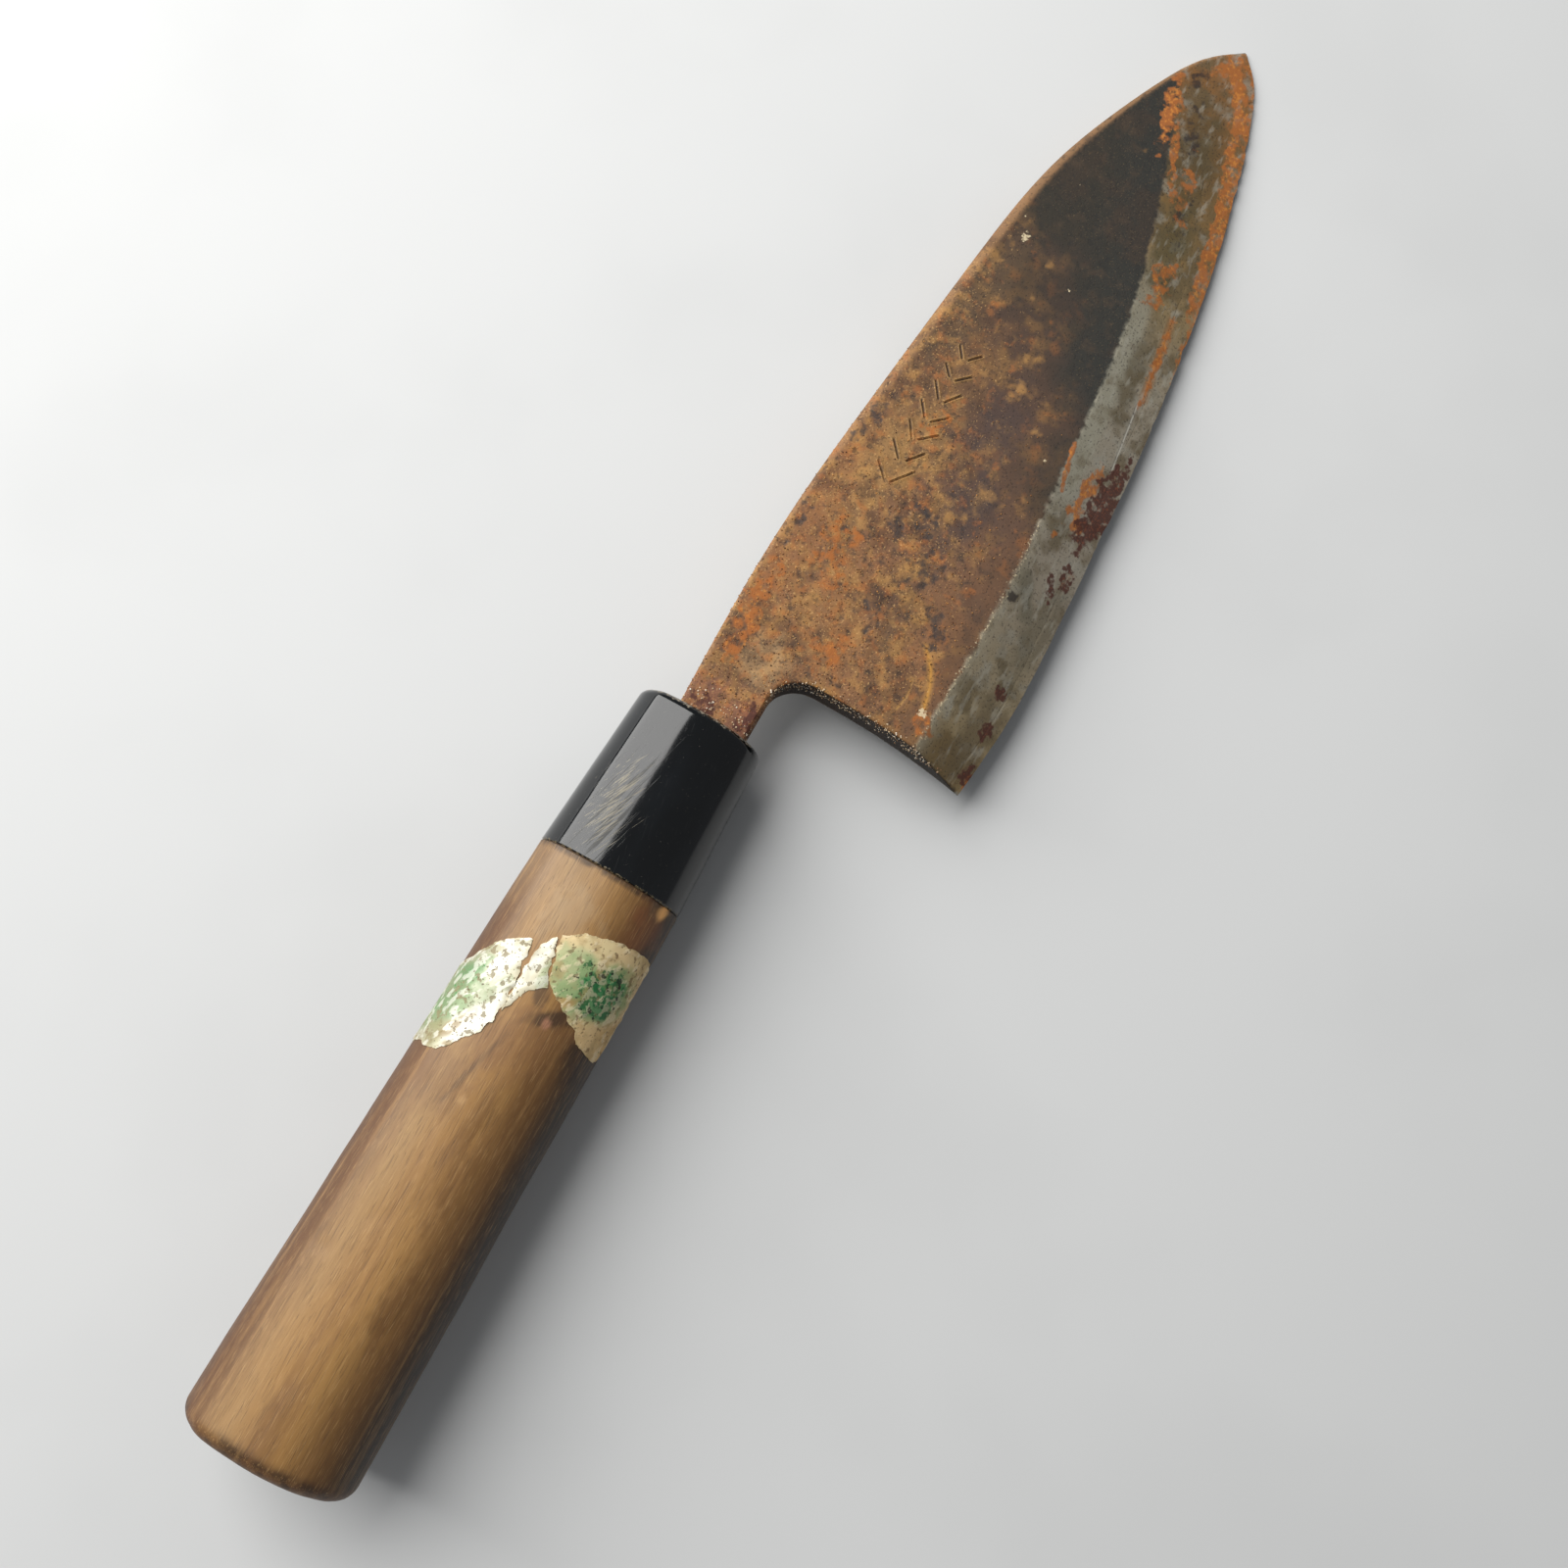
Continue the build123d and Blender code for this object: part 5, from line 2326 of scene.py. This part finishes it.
# The label's paper backing, soaked and dried: fibrous, matt and stained, with crumbs of print.
TORN_PAPER = Finish(
    "torn_label_paper", "#b79d70", 0.82, ior=1.47, painted=True,
    patches=(
        Patch("#a58a5c", 2.6, 0.48, 0.66, "", 0, 0.6, detail=9, relief=-0.02),
        Patch("#e6d6b0", 1.2, 0.53, 0.62, "", 0, 0.55, (2, 1, 1), -30, 8, relief=0.03),
        Patch("#6b5130", 0.9, 0.57, 0.64, "", 0, 0.65, detail=8, relief=-0.04),
        Patch("#0f5a2c", 1.2, 0.46, 0.54, "green", 0.35, 0.8, detail=9, roughness=0.6),
        Patch("#a3a483", 1.1, 0.53, 0.58, "green", 0.2, 0.75, detail=9, relief=0.03),
        Patch("#141a10", 0.9, 0.57, 0.61, "green", 0.2, 0.85, detail=9),
        Patch("#2a2415", 0.35, 0.66, 0.7, "", 0, 0.8),
    ),
)


# ---- Stage ----


@dataclass
class Stage:
    """Plain pale floor, soft window light and the camera.

    Args:
        knife: places in the frame.
    """

    knife: KnifeFrame
    eye: tuple[float, float, float] = (-53.3, -24.3, 237.2)
    forward: tuple[float, float, float] = (0.2114, 0.0334, -0.9768)
    up: tuple[float, float, float] = (0.8461, 0.4941, 0.2000)
    lens: float = 34.886
    sensor: float = 36.0
    # Metres and watts from here on.
    floor_size: float = 2.4
    ferrule_clear: float = 0.0003
    tip_clear: float = 0.0002
    window_place: tuple[float, float, float] = (0.1, 0.55, 0.5)
    window_size: Point = (0.7, 0.94)
    window_watts: float = 12.5
    sky_strength: float = 0.3

    def camera(self) -> None:
        """Puts the camera above the handle, looking down along the knife."""
        ahead = Vector(self.forward).normalized()
        right = ahead.cross(Vector(self.up)).normalized()
        upright = right.cross(ahead)
        data = bpy.data.cameras.new("camera")
        data.lens = self.lens
        data.sensor_width = self.sensor
        data.clip_start = 0.01
        camera = add_object("camera", data)
        turn = Matrix((right, upright, -ahead)).transposed()
        place = Vector(self.knife.metres(np.array(self.eye)))
        camera.matrix_world = Matrix.Translation(place) @ turn.to_4x4()
        bpy.context.scene.camera = camera

    def floor(self) -> None:
        """Lays the floor under the ferrule and the tip, which the knife rests on."""
        ferrule_low, ferrule_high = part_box("ferrule")
        steel_low, steel_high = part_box("edge_steel")
        half = self.floor_size / 2
        start = Vector((ferrule_high.x, 0.0, ferrule_low.z - self.ferrule_clear))
        tip = Vector((steel_high.x, 0.0, steel_low.z - self.tip_clear))
        slope = (tip.z - start.z) / (tip.x - start.x)
        corners = ((-half, -half), (half, -half), (half, half), (-half, half))
        points = [(x, y, start.z + slope * (x - start.x)) for x, y in corners]
        mesh = bpy.data.meshes.new("floor")
        mesh.from_pydata(points, [], [(0, 1, 2, 3)])
        mesh.materials.append(PALE_FLOOR.material(self.knife))
        add_object("floor", mesh)

    def lights(self) -> None:
        """Hangs the soft window on the spine side and sets an even sky."""
        data = bpy.data.lights.new("window", "AREA")
        data.shape = "RECTANGLE"
        data.size, data.size_y = self.window_size
        data.energy = self.window_watts
        data.color = linear("#fffefc")[:3]
        light = add_object("window", data)
        light.location = self.window_place
        facing = Vector((0.0, 0.0, 0.01)) - light.location
        light.rotation_euler = facing.to_track_quat("-Z", "Y").to_euler()
        world = bpy.data.worlds.new("even_sky")
        world.use_nodes = True
        background = world.node_tree.nodes["Background"]
        background.inputs["Color"].default_value = linear("#dfe1e4")
        background.inputs["Strength"].default_value = self.sky_strength
        bpy.context.scene.world = world

    def build(self) -> None:
        """Sets the whole stage."""
        self.camera()
        self.floor()
        self.lights()
        bpy.context.scene.view_settings.view_transform = "Standard"


PALE_FLOOR = Finish(
    "pale_matt_floor", "#c6c7c7", 0.8, patches=(Patch("#c0c1c1", 60, 0.4, 0.7, "", 0, 0.6),),
)


# ---- Assembly ----


def main() -> None:
    """Builds the stage and the knife, piece by piece."""
    logging.basicConfig(level=logging.INFO, format="%(name)s: %(message)s")
    knife = KnifeFrame.from_nodes()
    Stage(knife).build()
    blade = Blade(knife)
    blade.build()
    shape = HandleShape(blade)
    Handle(knife, shape).build()
    Label(knife, shape).build()


if __name__ == "__main__":
    main()
